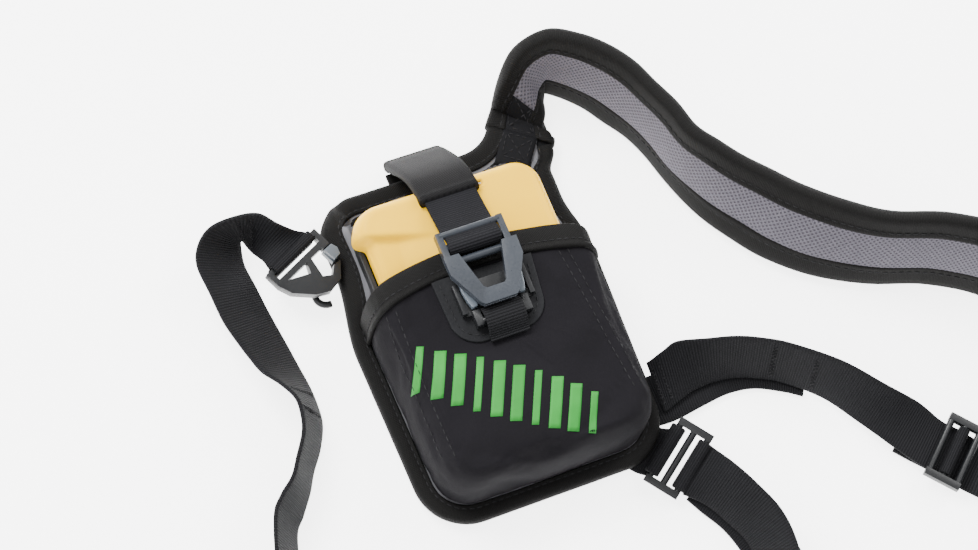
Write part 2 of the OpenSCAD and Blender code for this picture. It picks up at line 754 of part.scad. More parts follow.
module antenna_vertical() {
  color([0.35, 0.2, 0.12]) translate([dev_x + 24, 18, dev_z0 + 10.7])
    cylinder(h = 7.5, r = 5.5);
}

module speaker() {
  color([0.22, 0.22, 0.24]) translate([dev_x, 36.6, dev_z0 + 2.1]) union() {
    cylinder(h = 3.2, r = 8.6);
    translate([0, 0, 3.1]) cylinder(h = 2.4, r = 5);
  }
}

module light_pipe() {
  color([0.75, 0.85, 0.8]) for (x = [-26, 26])
    translate([dev_x + x, 20, dev_z0 + 2.1]) cylinder(h = 6.8, r = 1.5);
}

module case_screws() {
  color([0.6, 0.6, 0.62]) for (x = [-30, 30]) for (y = [-48, 28])
    translate([dev_x + x, y, dev_z0 + 2.1]) cylinder(h = 14, r = 1.4);
}

module lanyard_pin() {
  color([0.75, 0.75, 0.78]) bar_x(7.5, 44.4, dev_z1 - 1.2, 0.6, 9);
}
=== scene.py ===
"""Looks for the avalanche transceiver in its pouch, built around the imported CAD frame.
Metres in the scene; the shapes below are worked out in millimetres and scaled once.
X runs across the pouch, Y up the pouch, Z out of its front."""
import json
import math

import bmesh
import bpy
import numpy as np
from mathutils import Matrix, Vector, noise
from mathutils.bvhtree import BVHTree

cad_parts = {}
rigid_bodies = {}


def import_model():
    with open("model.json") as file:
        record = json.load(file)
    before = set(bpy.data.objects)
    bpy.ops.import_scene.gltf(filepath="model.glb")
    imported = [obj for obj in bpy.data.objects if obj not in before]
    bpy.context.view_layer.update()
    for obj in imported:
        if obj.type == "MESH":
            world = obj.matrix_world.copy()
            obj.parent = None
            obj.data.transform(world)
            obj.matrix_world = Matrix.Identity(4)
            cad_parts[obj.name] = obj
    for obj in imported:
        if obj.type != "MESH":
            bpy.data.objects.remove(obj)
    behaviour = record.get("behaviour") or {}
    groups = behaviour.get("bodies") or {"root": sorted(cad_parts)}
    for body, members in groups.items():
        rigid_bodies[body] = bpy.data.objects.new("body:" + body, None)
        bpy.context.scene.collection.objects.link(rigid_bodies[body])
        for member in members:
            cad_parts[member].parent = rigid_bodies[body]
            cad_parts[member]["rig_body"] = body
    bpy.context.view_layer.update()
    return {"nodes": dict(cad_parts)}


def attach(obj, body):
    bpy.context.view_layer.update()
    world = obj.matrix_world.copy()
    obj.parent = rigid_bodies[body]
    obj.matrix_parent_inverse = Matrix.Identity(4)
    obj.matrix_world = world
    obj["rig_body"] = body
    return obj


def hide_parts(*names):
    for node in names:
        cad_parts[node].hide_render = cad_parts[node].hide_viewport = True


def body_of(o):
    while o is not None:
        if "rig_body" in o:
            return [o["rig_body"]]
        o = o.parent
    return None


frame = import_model()
MM = 0.001
NODE = frame["nodes"]


def mm(*p):
    return Vector([c * MM for c in p])


# ---------------------------------------------------------------- materials

class Look:
    """A Principled material with short calls for the nodes used here."""

    def __init__(self, name, rough=0.6, spec=0.5, metal=0.0, sheen=0.0, coat=0.0):
        self.mat = bpy.data.materials.new(name)
        self.mat.use_nodes = True
        self.tree = self.mat.node_tree
        self.out = self.tree.nodes["Principled BSDF"]
        self.set("Roughness", rough)
        self.set("Specular IOR Level", spec)
        self.set("Metallic", metal)
        if sheen:
            self.set("Sheen Weight", sheen)
            self.set("Sheen Roughness", 0.5)
        if coat:
            self.set("Coat Weight", coat)
            self.set("Coat Roughness", 0.2)

    def set(self, socket, value):
        if hasattr(value, "is_output"):
            self.tree.links.new(value, self.out.inputs[socket])
        else:
            self.out.inputs[socket].default_value = value

    def node(self, kind, inputs=(), **sets):
        n = self.tree.nodes.new(kind)
        for key, value in sets.items():
            setattr(n, key, value)
        for i, value in enumerate(inputs):
            if value is None:
                continue
            if hasattr(value, "is_output"):
                self.tree.links.new(value, n.inputs[i])
            else:
                n.inputs[i].default_value = value
        return n

    def math(self, op, a, b=0.0, c=0.0):
        return self.node("ShaderNodeMath", (a, b, c), operation=op).outputs[0]

    def strap(self):
        a = self.node("ShaderNodeAttribute", attribute_name="strap", attribute_type="GEOMETRY")
        s = self.node("ShaderNodeSeparateXYZ", (a.outputs["Vector"],))
        return a.outputs["Vector"], s.outputs[0], s.outputs[1]

    def place(self):
        """Object coordinates in millimetres."""
        t = self.node("ShaderNodeTexCoord").outputs["Object"]
        v = self.node("ShaderNodeVectorMath", (t, (1000.0, 1000.0, 1000.0)),
                      operation="MULTIPLY")
        return v.outputs[0]

    def noise(self, where, scale, detail=3.0):
        n = self.node("ShaderNodeTexNoise")
        self.tree.links.new(where, n.inputs["Vector"])
        n.inputs["Scale"].default_value = scale
        n.inputs["Detail"].default_value = detail
        return n.outputs[0]

    def mix(self, fac, a, b):
        n = self.node("ShaderNodeMix", data_type="RGBA")
        for sock, v in ((n.inputs[0], fac), (n.inputs[6], a), (n.inputs[7], b)):
            if hasattr(v, "is_output"):
                self.tree.links.new(v, sock)
            else:
                sock.default_value = v if not isinstance(v, tuple) else (*v[:3], 1.0)
        return n.outputs[2]

    def ramp(self, fac, lo, hi):
        n = self.node("ShaderNodeMapRange", (fac, lo, hi, 0.0, 1.0))
        return n.outputs[0]

    def bump(self, height, strength, reach):
        n = self.node("ShaderNodeBump")
        n.inputs["Strength"].default_value = strength
        n.inputs["Distance"].default_value = reach * MM
        self.tree.links.new(height, n.inputs["Height"])
        self.set("Normal", n.outputs[0])


def woven(name, color, pitch=0.9, thread=0.75, rib_shading=0.55, depth=0.22, rough=0.72,
          lint=0.2, slant=0.0, sheen=0.0):
    """Cloth woven from round threads: ribs across the strap, threads along it."""
    k = Look(name, rough, 0.10, sheen=sheen)
    vec, across, along = k.strap()
    lean = k.math("MULTIPLY_ADD", across, slant, along)
    row = k.math("DIVIDE", lean, pitch)
    rib = k.math("ABSOLUTE", k.math("SINE", k.math("MULTIPLY", row, math.pi)))
    odd = k.math("MULTIPLY", k.math("FLOOR", row), math.pi)
    warp = k.math("SINE", k.math("MULTIPLY_ADD", across, 2 * math.pi / thread, odd))
    warp = k.math("MULTIPLY_ADD", warp, 0.5, 0.5)
    height = k.math("MULTIPLY", rib, k.math("MULTIPLY_ADD", warp, 0.35, 0.65))
    where = k.place()
    patchy = k.ramp(k.noise(where, 0.08, 3.0), 0.3, 0.7)
    fuzz = k.ramp(k.noise(where, 2.6, 4.0), 0.5, 0.85)
    # dark and light are shaded and lit copies of the colour, mixed by the rib height: painted shade
    # in the weave's valleys and a painted highlight on its crests.
    dark = tuple(c * (1 - rib_shading) for c in color)
    light = tuple(min(1.0, c * (1 + rib_shading)) for c in color)
    body = k.mix(height, dark, light)
    body = k.mix(k.math("MULTIPLY", patchy, 0.3), body, tuple(c * 1.5 for c in color))
    hair = tuple(min(1.0, c * 2.6 + 0.006) for c in color)
    body = k.mix(k.math("MULTIPLY", fuzz, lint), body, hair)
    k.set("Base Color", body)
    k.bump(height, 0.85, depth)
    return k.mat


def jersey(name, color, loop=0.55, depth=0.1, rough=0.85, sheen=0.0, lint=2.2):
    """Fine knitted face of neoprene or lining."""
    k = Look(name, rough, 0.08, sheen=sheen)
    vec, across, along = k.strap()
    a = k.math("SINE", k.math("MULTIPLY", across, 2 * math.pi / loop))
    b = k.math("SINE", k.math("MULTIPLY_ADD", along, 2 * math.pi / (loop * 0.8), across))
    knit = k.math("MULTIPLY_ADD", k.math("MULTIPLY", a, b), 0.5, 0.5)
    where = k.place()
    cloud = k.ramp(k.noise(where, 0.05, 4.0), 0.35, 0.7)
    fuzz = k.ramp(k.noise(where, 3.2, 4.0), 0.52, 0.8)
    # The knit's loops are coloured as shaded and lit copies of the colour: painted shade between the
    # loops and a painted highlight on them.
    body = k.mix(knit, tuple(c * 0.72 for c in color), tuple(c * 1.2 for c in color))
    body = k.mix(k.math("MULTIPLY", cloud, 0.3), body, tuple(c * 1.45 for c in color))
    body = k.mix(k.math("MULTIPLY", fuzz, 0.16), body, tuple(c * lint + 0.003 for c in color))
    k.set("Base Color", body)
    mixed = k.math("MULTIPLY_ADD", k.noise(where, 0.35, 3.0), 2.2, knit)
    k.bump(mixed, 0.6, depth)
    return k.mat


def spacer(name, light, dark):
    """Knitted spacer mesh: heathered yarn with rows of diamond holes, coloured dark as the darker
    yarn seen through them and the painted shade inside them.
    """
    k = Look(name, 0.8, 0.12)
    vec, across, along = k.strap()
    p = k.math("MULTIPLY", k.math("ADD", across, along), math.pi / 2.1)
    q = k.math("MULTIPLY", k.math("SUBTRACT", across, along), math.pi / 2.1)
    cell = k.math("MULTIPLY", k.math("ABSOLUTE", k.math("SINE", p)),
                  k.math("ABSOLUTE", k.math("SINE", q)))
    where = k.place()
    yarn = k.ramp(k.noise(where, 2.4, 4.0), 0.35, 0.7)
    cloud = k.ramp(k.noise(where, 0.16, 2.0), 0.35, 0.65)
    hole = k.ramp(k.math("MULTIPLY_ADD", yarn, 0.22, cell), 0.62, 0.95)
    body = k.mix(yarn, tuple(c * 0.62 for c in light), tuple(c * 1.12 for c in light))
    body = k.mix(k.math("MULTIPLY", cloud, 0.25), body, tuple(c * 0.7 for c in light))
    # The holes take the dark colour: partly the darker yarn under them, partly painted shade in the
    # holes.
    body = k.mix(k.math("MULTIPLY", hole, 0.72), body, dark)
    k.set("Base Color", body)
    k.bump(k.math("SUBTRACT", k.math("MULTIPLY", yarn, 0.4), hole), 0.8, 0.35)
    return k.mat


def moulded(name, color, rough=0.45, grain=1.6, depth=0.03, vary=0.12, spec=0.5, coat=0.0,
            metal=0.0, edge_highlight=0.25, glow=0.0):
    """Moulded plastic, rubber or metal: fine grain, slow colour drift, and a painted highlight along
    the edges.
    """
    k = Look(name, rough, spec, metal, coat=coat)
    where = k.place()
    drift = k.ramp(k.noise(where, 0.07, 3.0), 0.3, 0.7)
    fine = k.noise(where, grain, 4.0)
    body = k.mix(drift, tuple(c * (1 - vary) for c in color),
                 tuple(min(1.0, c * (1 + vary)) for c in color))
    # Convex edges, found by pointiness, are mixed towards a paler colour: a painted highlight along
    # the edges.
    edge = k.node("ShaderNodeNewGeometry").outputs["Pointiness"]
    edge_lit = k.math("MULTIPLY", k.ramp(edge, 0.53, 0.62), edge_highlight)
    pale = tuple(min(1.0, c * 1.5 + 0.01) for c in color)
    body = k.mix(edge_lit, body, pale)
    k.set("Base Color", body)
    k.set("Roughness", k.node("ShaderNodeMapRange", (fine, 0.3, 0.7, max(0.05, rough - 0.06),
                                                    min(1.0, rough + 0.08))).outputs[0])
    if glow:
        k.set("Subsurface Weight", glow)
        k.set("Subsurface Radius", (1.0, 0.5, 0.15))
        k.set("Subsurface Scale", 0.0012)
    k.bump(fine, 0.35, depth)
    return k.mat


M = {
    # The fifth value of each woven cloth sets the strength of its painted shade in the valleys and
    # painted highlight on the ribs.
    "webbing": woven("webbing_weave", (0.0075, 0.0075, 0.0085), 1.0, 1.1, 0.6, 0.25),
    "closure": woven("closure_weave", (0.0085, 0.0085, 0.0100), 0.9, 1.4, 0.6, 0.12, lint=0.12),
    "binding": woven("grosgrain", (0.0062, 0.0060, 0.0058), 0.62, 0.9, 0.6, 0.16, slant=0.18),
    "sleeve": woven("sleeve_grosgrain", (0.0060, 0.0058, 0.0062), 0.7, 0.8, 0.6, 0.12,
                    slant=0.3),
    "panel": jersey("panel_cloth", (0.007, 0.007, 0.0075), 0.9, 0.16),
    "lining": jersey("lining_knit", (0.115, 0.115, 0.125), 0.6, 0.1, lint=1.15),
    "neoprene": jersey("neoprene_jersey", (0.0078, 0.0072, 0.0088)),
    "neck": jersey("neck_cloth", (0.008, 0.008, 0.009), 0.8, 0.12),
    # The spacer mesh's second colour fills its holes: darker yarn under them and painted shade in
    # them.
    "mesh": spacer("spacer_mesh", (0.155, 0.145, 0.172), (0.028, 0.026, 0.034)),
    "patch": moulded("patch_rubber", (0.0075, 0.0078, 0.009), 0.68, 1.2, 0.05, spec=0.16),
    "slate": moulded("slate_acetal", (0.020, 0.024, 0.031), 0.33, 1.5, 0.02, edge_highlight=0.5),
    "dark": moulded("dark_acetal", (0.0045, 0.005, 0.006), 0.40, 1.5, 0.03, edge_highlight=0.3,
                    spec=0.4),
    "tab": moulded("tab_acetal", (0.085, 0.102, 0.122), 0.36, 1.5, 0.02, edge_highlight=0.3),
    "yellow": moulded("yellow_abs", (1.0, 0.56, 0.0), 0.45, 1.1, 0.012, 0.03, 0.12,
                      edge_highlight=0.15),
    "case": moulded("case_dark", (0.010, 0.0102, 0.011), 0.5, 2.2, 0.06, spec=0.35),
    "seal": moulded("seal_rubber", (0.02, 0.02, 0.02), 0.8, 1.0, 0.03, spec=0.2),
    "key": moulded("key_rubber", (0.03, 0.03, 0.034), 0.6, 1.4, 0.03, spec=0.3),
    "steel": moulded("steel", (0.56, 0.56, 0.58), 0.3, 2.0, 0.01, metal=1.0),
    "contact": moulded("plated_contact", (0.66, 0.62, 0.5), 0.3, 2.0, 0.01, metal=1.0),
    "board": moulded("solder_mask", (0.03, 0.20, 0.09), 0.4, 0.6, 0.04, vary=0.3),
    "ferrite": moulded("copper_winding", (0.28, 0.13, 0.06), 0.4, 3.0, 0.05, vary=0.3),
    "lcd": moulded("lcd_glass", (0.30, 0.36, 0.30), 0.2, 1.0, 0.01),
    "cell": moulded("cell_sleeve", (0.16, 0.18, 0.21), 0.3, 1.0, 0.01, vary=0.3),
    "window": moulded("window_tint", (0.02, 0.023, 0.027), 0.12, 1.0, 0.004, coat=0.5),
    "clear": moulded("light_pipe", (0.6, 0.7, 0.66), 0.2, 1.0, 0.01),
    "thread": woven("thread", (0.016, 0.016, 0.017), 0.35, 0.5, 0.4, 0.05, lint=0.1),
    "green": moulded("green_print", (0.022, 0.24, 0.030), 0.6, 2.0, 0.05, vary=0.14,
                     spec=0.2, edge_highlight=0.0),
}


# ---------------------------------------------------------------- mesh helpers

def piece(name, verts, faces, mat, body, coords=None, stands_for=(), smooth=True, weld=0.0):
    """A new mesh from millimetre vertices, riding on a body."""
    mesh = bpy.data.meshes.new(name)
    mesh.from_pydata([tuple(c * MM for c in v) for v in verts], [], faces)
    if coords is None:
        coords = [(v[0], v[1], v[2]) for v in verts]
    mark = mesh.attributes.new("strap", "FLOAT_VECTOR", "POINT")
    mark.data.foreach_set("vector", [float(c) for v in coords for c in v])
    bm = bmesh.new()
    bm.from_mesh(mesh)
    if weld:
        bmesh.ops.remove_doubles(bm, verts=bm.verts, dist=weld * MM)
    bmesh.ops.recalc_face_normals(bm, faces=bm.faces)
    bm.to_mesh(mesh)
    bm.free()
    if smooth:
        mesh.polygons.foreach_set("use_smooth", [True] * len(mesh.polygons))
    mesh.materials.append(mat)
    obj = bpy.data.objects.new(name, mesh)
    bpy.context.scene.collection.objects.link(obj)
    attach(obj, body)
    if stands_for:
        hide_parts(*stands_for)
    return obj


def grid_faces(rows, cols, wrap=False, first=0):
    faces = []
    for i in range(rows - 1):
        for j in range(cols if wrap else cols - 1):
            a = first + i * cols + j
            b = first + i * cols + (j + 1) % cols
            faces.append((a, b, b + cols, a + cols))
    return faces


def refine(route, k):
    p = np.array(route, float)
    n = len(p)
    out = []
    for i in range(n - 1):
        a, b, c, d = p[max(i - 1, 0)], p[i], p[i + 1], p[min(i + 2, n - 1)]
        for j in range(k):
            t = j / k
            out.append(0.5 * (2 * b + (c - a) * t + (2 * a - 5 * b + 4 * c - d) * t * t
                              + (3 * b - a - 3 * c + d) * t ** 3))
    out.append(p[-1])
    return np.array(out)


def unit(v):
    return v / np.maximum(np.linalg.norm(v, axis=-1, keepdims=True), 1e-9)


def lengths(points):
    step = np.linalg.norm(np.diff(points, axis=0), axis=1)
    return np.concatenate([[0.0], np.cumsum(step)])


def even(points, step):
    """The same open path with points about step apart."""
    points = np.array(points, float)
    at = lengths(points)
    n = max(2, int(round(at[-1] / step)) + 1)
    want = np.linspace(0, at[-1], n)
    return np.stack([np.interp(want, at, points[:, i]) for i in range(points.shape[1])], 1)


def flat_section(t, base=0.0, lo=0.0, hi=1.0, n=8, e=0.02, crown=0.0, rib=0.0):
    """Closed section of a strap with rounded edges, as (across 0..1, out in mm)."""
    top = []
    for i in range(n + 1):
        s = i / n
        u = lo + e + (hi - lo - 2 * e) * s
        top.append((u, base + t + crown * (1 - (2 * s - 1) ** 2)))
    left = [(lo, base + 0.3 * t), (lo, base + 0.7 * t), (lo + 0.35 * e, base + 0.93 * t)]
    right = [(hi - 0.35 * e, base + 0.93 * t), (hi, base + 0.7 * t), (hi, base + 0.3 * t)]
    low = [(hi - 0.35 * e, base + 0.07 * t)]
    low += [(hi - e - (hi - lo - 2 * e) * i / n, base) for i in range(n + 1)]
    low += [(lo + 0.35 * e, base + 0.07 * t)]
    return left + top + right + low


def strap(name, route, span, section, mat, stands_for=(), k=6, wave=0.15, body="pouch",
          seed=0.0):
    """Sweeps a section between the two edges of a route of stations."""
    p = refine(route, k)
    mid = p.mean(axis=1)
    w = p[:, 1] - p[:, 0]
    up = unit(np.cross(np.gradient(mid, axis=0), w))
    along = lengths(mid)
    i0, i1 = span[0] * k, min(span[1] * k, len(p) - 1)
    verts, coords = [], []
    for i in range(i0, i1 + 1):
        wide = float(np.linalg.norm(w[i]))
        for u, n in section:
            lift = wave * noise.noise(Vector((u * 1.7 + seed, along[i] * 0.045, seed)))
            verts.append(p[i, 0] + u * w[i] + (n + lift) * up[i])
            coords.append((u * wide, along[i], n))
    m = len(section)
    rows = i1 - i0 + 1
    faces = grid_faces(rows, m, True)
    faces.append(tuple(range(m)))
    faces.append(tuple((rows - 1) * m + j for j in reversed(range(m))))
    obj = piece(name, verts, faces, mat, body, coords, stands_for)
    return obj, float(along[i1] - along[i0])


def surface_line(route, span, u, n, k=6, step=1.0):
    """Points and normals along a strap at a fixed place across it."""
    p = refine(route, k)
    w = p[:, 1] - p[:, 0]
    up = unit(np.cross(np.gradient(p.mean(axis=1), axis=0), w))
    i0, i1 = span[0] * k, min(span[1] * k, len(p) - 1)
    line = even(np.concatenate([p[:, 0] + u * w + n * up, up], 1)[i0:i1 + 1], step)
    return line[:, :3], unit(line[:, 3:])


def stitches(name, lines, mat, body="pouch", length=2.3, gap=1.0, r=0.3):
    """Rows of thread: each stitch is a small rounded dash lying on the surface."""
    verts, faces, coords = [], [], []
    for pts, nrm in lines:
        pts = np.array(pts, float)
        nrm = np.broadcast_to(np.array(nrm, float), pts.shape)
        at = lengths(pts)
        s = gap
        while s + length < at[-1]:
            ends = []
            for q in (0.0, 0.18, 0.5, 0.82, 1.0):
                d = s + length * q
                c = np.array([np.interp(d, at, pts[:, i]) for i in range(3)])
                z = np.array([np.interp(d, at, nrm[:, i]) for i in range(3)])
                ends.append((c, z / np.linalg.norm(z), (0.3, 0.85, 1.0, 0.85, 0.3)[
                    (0.0, 0.18, 0.5, 0.82, 1.0).index(q)]))
            t = unit(ends[-1][0] - ends[0][0])
            first = len(verts)
            for c, z, f in ends:
                side = np.cross(t, z)
                for a in range(6):
                    ang = math.pi * a / 3
                    verts.append(c + (side * math.cos(ang) * f + z * (
                        math.sin(ang) * f * 0.8 + 0.2 * f)) * r)
                    coords.append((a * 0.2, s, 0))
            faces += grid_faces(5, 6, True, first)
            faces.append(tuple(first + j for j in range(6)))
            faces.append(tuple(first + 24 + j for j in reversed(range(6))))
            s += length + gap
    return piece(name, verts, faces, mat, body, coords)


def soften(node, mat, width=0.4, segments=2, body=None, angle=28, name=None):
    """A hard piece with its moulded edge radii: the CAD shape rebuilt with rounded edges."""
    src = NODE[node]
    body = body or body_of(src)
    body = body[0] if isinstance(body, (list, tuple, set)) else body
    bm = bmesh.new()
    bm.from_mesh(src.data)
    bm.transform(src.matrix_world)
    bmesh.ops.remove_doubles(bm, verts=bm.verts, dist=2e-6)
    bmesh.ops.dissolve_limit(bm, angle_limit=math.radians(0.6), verts=bm.verts,
                             edges=bm.edges)
    sharp = [e for e in bm.edges if len(e.link_faces) == 2
             and e.calc_face_angle(0.0) > math.radians(angle)]
    bmesh.ops.bevel(bm, geom=sharp, offset=width * MM, segments=segments, profile=0.6,
                    affect="EDGES", clamp_overlap=True, loop_slide=True)
    bmesh.ops.triangulate(bm, faces=[f for f in bm.faces if len(f.verts) > 4])
    mesh = bpy.data.meshes.new((name or node) + "_moulded")
    bm.to_mesh(mesh)
    bm.free()
    mark = mesh.attributes.new("strap", "FLOAT_VECTOR", "POINT")
    co = np.zeros(len(mesh.vertices) * 3)
    mesh.vertices.foreach_get("co", co)
    mark.data.foreach_set("vector", co * 1000)
    mesh.materials.clear()
    mesh.materials.append(mat)
    mesh.polygons.foreach_set("use_smooth", [True] * len(mesh.polygons))
    mesh.set_sharp_from_angle(angle=math.radians(32))
    obj = bpy.data.objects.new((name or node) + "_moulded", mesh)
    bpy.context.scene.collection.objects.link(obj)
    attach(obj, body)
    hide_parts(node)
    return obj


def arc(cx, cy, r, a0, a1, n):
    return [(cx + r * math.cos(math.radians(a0 + (a1 - a0) * i / n)),
             cy + r * math.sin(math.radians(a0 + (a1 - a0) * i / n))) for i in range(n + 1)]


# ---------------------------------------------------------------- back panel

NECK_SIDE = np.array([0.809, -0.588])
NECK_L = np.array([30.4, 75.7])
NECK_R = np.array([51.4, 60.5])


def outline(d):
    """The panel's edge inset by d, from the neck's left end round to its right end."""
    left = NECK_L + d * NECK_SIDE
    right = NECK_R - d * NECK_SIDE
    return np.array([tuple(left)] + arc(16.6, 84, 16 + d, -36, -90, 10)
                    + arc(-33, 50, 18 - d, 90, 180, 14) + arc(-28, -48, 20 - d, 180, 270, 14)
                    + arc(28, -48, 20 - d, 270, 360, 14)
                    + [(50.5 - d, 30), (51.2 - d, 60.2 + 0.325 * d), tuple(right)])


def ease(s):
    s = max(0.0, min(1.0, s))
    return s * s * (3 - 2 * s)


def tuck(p):
    """The panel's edge curls up and in beside the case, and lies flat at the neck."""
    x, y, z = p
    neck = 1 - ease((x - 18) / 14) * ease((y - 47) / 9)
    left = 4.6 * ease((y - 4) / 34) * ease((-x - 24) / 16)
    right = 4.8 * ease((y - 14) / 26) * ease((x - 34) / 9) * (1 - ease((y - 49) / 10))
    top = 2.4 * ease((y - 50) / 13) * ease((14 - x) / 16)
    rise = 2.6 * ease((y - 13) / 16) * neck * min(1.0, max(0.0, z) / 3.5)
    rise *= 1 - mouth(x, y)
    return (x + left - right, y - top, z + rise)


def edge_line(d, z, step=1.0, lo=0.0, hi=1.0):
    """A path at inset d and height z, measured along the panel's edge."""
    path = even(outline(0.0), step)
    t = unit(np.gradient(path, axis=0))
    inward = np.stack([-t[:, 1], t[:, 0]], 1)
    pts = [tuple(p + i * (d + 1.9 * broad(p[1])))
           + (z + 2.9 * broad(p[1]) * (1 - mouth(p[0], p[1])),)
           for p, i in zip(path, inward)]
    pts = np.array([tuck(q) for q in pts])
    n = len(pts)
    return pts[int(lo * (n - 1)):int(hi * (n - 1)) + 1]


def broad(y):
    """The binding is broader and its inner edge stands higher above the pocket."""
    return ease((y - 13) / 11)


def mouth(x, y):
    """1 on the top run, which stays low because the case leaves over it."""
    return ease((y - 49) / 8) * ease((44 - abs(x)) / 4)


def panel_binding():
    section = [(6.4, 0.5), (6.3, 0.12), (5.0, 0.02), (2.4, 0.02), (1.1, 0.25), (0.3, 1.1),
               (0.0, 2.4), (0.05, 3.6), (0.45, 4.75), (1.3, 5.45), (2.5, 5.72), (3.8, 5.66),
               (4.6, 5.5), (5.0, 5.42), (5.5, 5.62), (6.1, 5.6), (6.5, 5.2), (6.5, 4.7)]
    path = even(outline(0.0), 1.3)
    t = unit(np.gradient(path, axis=0))
    t = unit(np.array([t[max(0, i - 2):i + 3].mean(axis=0) for i in range(len(t))]))
    inward = np.stack([-t[:, 1], t[:, 0]], 1)
    at = lengths(path)
    run = [0.0]
    for a, b in zip(section, section[1:]):
        run.append(run[-1] + math.hypot(b[0] - a[0], b[1] - a[1]))
    verts, coords = [], []
    for i, p in enumerate(path):
        for (d, z), s in zip(section, run):
            pull = 0.28 * noise.noise(Vector((at[i] * 0.06, d * 0.25, 3.0)))
            wide = broad(p[1]) * (1 - ease((p[0] - 22) / 12) * ease((p[1] - 50) / 8))
            f = d / 6.5
            xy = p + inward[i] * (d + 1.9 * wide * f + (pull if d > 3 else 0.3 * pull))
            lift = 0.18 * noise.noise(Vector((at[i] * 0.11, d * 0.3, 9.0))) if z > 1 else 0.0
            z2 = min(5.8, z + lift)
            if z > 3:
                z2 += 3.2 * wide * f * (1 - mouth(p[0], p[1]))
            verts.append(tuck((xy[0], xy[1], z2)))
            coords.append((s, at[i], 0))
    m = len(section)
    faces = grid_faces(len(path), m, True)
    faces += [tuple(range(m)), tuple((len(path) - 1) * m + j for j in reversed(range(m)))]
    return piece("panel_edge_binding", verts, faces, M["binding"], "pouch", coords,
                 ["panel_binding"])


def closed_pad(name, d, low, high, mat, stands_for, shape=None):
    """A closed pad from rings: low and high are (inset, z) from the rim to the middle."""
    rings = [(d + i, z) for i, z in reversed(low)] + [(d + i, z) for i, z in high]
    base = even(outline(0.0), 2.0)
    verts, coords = [], []
    for inset, z in rings:
        line = even(outline(inset), 2.0)
        line = even(line, lengths(line)[-1] / (len(base) - 1))
        for x, y in line[:len(base)]:
            zz = shape(x, y, z, inset) if shape else z
            verts.append(tuck((x, y, zz)))
            coords.append((x, y, z))
    m = len(base)
    faces = grid_faces(len(rings), m, True)
    faces += [tuple(range(m)), tuple((len(rings) - 1) * m + j for j in reversed(range(m)))]
    return piece(name, verts, faces, mat, "pouch", coords, stands_for)


def panel():
    pad = closed_pad("panel_foam", 0.9, [(0, 1.6), (1.2, 0.5), (4.5, 0.12), (10, 0.0)],
                     [(0, 3.2), (1.2, 4.1), (5.6, 4.5), (8, 4.55)], M["panel"], ["back_panel"])


    def wall(x, y, z, inset):
        """The lining stands up round the case's head and lies flat elsewhere."""
        t = (x - NECK_L[0]) * 0.588 + (y - NECK_L[1]) * 0.809
        up = ease((y - 14) / 10) * (1 - ease((t + 21) / 6)) * (1 - mouth(x, y))
        return 4.66 + (z - 4.66) * up if z > 4.66 else z
    lining = closed_pad("lining_cloth", 6.1, [(0, 4.62), (5, 4.62)],
                        [(0, 5.6), (1.2, 7.6), (2.2, 9.6), (3.2, 10.6), (4.0, 10.4),
                         (4.7, 8.4), (5.2, 5.4), (8, 5.25)],
                        M["lining"], ["panel_lining"], wall)
    return pad, lining


# ---------------------------------------------------------------- pocket

ARCH_X, ARCH_Y = -3.0, -129.5
FRONT = 35.8
PATCH_Z = 37.0


def arch_y(x, r=151.0):
    return ARCH_Y + math.sqrt(max(0.0, r * r - (x - ARCH_X) ** 2))


def profile(q):
    """Wall of the pocket, q 0 at its base to 1 at the front face's rim: (inset, z)."""
    pts = [(0.0, 4.7), (0.0, 12.0), (0.2, 19.0), (0.8, 25.0), (2.0, 29.6), (3.6, 32.9),
           (5.8, 35.0), (8.6, 35.8)]
    at = [i / (len(pts) - 1) for i in range(len(pts))]
    return (float(np.interp(q, at, [p[0] for p in pts])),
            float(np.interp(q, at, [p[1] for p in pts])))


def u_ring(inset, z, n=110):
    """One U-shaped ring of the pocket, open at the arched mouth."""
    def wide(y):
        full = 41.4 + 2.7 * (y + 48.0) / 88.0
        if inset <= 8.6:
            return full - inset
        return (full - 8.6) * max(0.0006, 1 - (inset - 8.6) / 32.8)
    r = max(1.2, 13.5 - 0.8 * inset) if inset < 14 else max(0.4, 2.3 - 0.06 * inset)
    bottom = -61.4 + inset * (0.75 if inset < 9 else 1.0) + (0.0 if inset < 9 else -2.2)
    half = max(0.02, wide(-48))
    r = min(r, half * 0.98)
    path = []
    top_l = arch_y(-half)
    for i in range(24):
        y = top_l + (bottom + r - top_l) * i / 24
        path.append((-max(0.02, wide(y)), y))
    path += [(x, y) for x, y in arc(-half + r, bottom + r, r, 180, 270, 10)]
    path += [(x, y) for x, y in arc(half - r, bottom + r, r, 270, 360, 10)]
    top_r = arch_y(half)
    for i in range(1, 25):
        y = bottom + r + (top_r - bottom - r) * i / 24
        path.append((max(0.02, wide(y)), y))
    path = even(path, 1.0)
    path = even(path, lengths(path)[-1] / (n - 1))[:n]
    return [(x, y, z) for x, y in path]


def pocket_verts():
    rings = []
    for i in range(15):
        inset, z = profile(i / 14)
        rings.append(u_ring(inset, z))
    for i in range(1, 15):
        s = i / 14
        rings.append(u_ring(8.6 + 32.8 * s, 35.8 + 0.35 * math.sin(s * math.pi / 2)))
    return rings


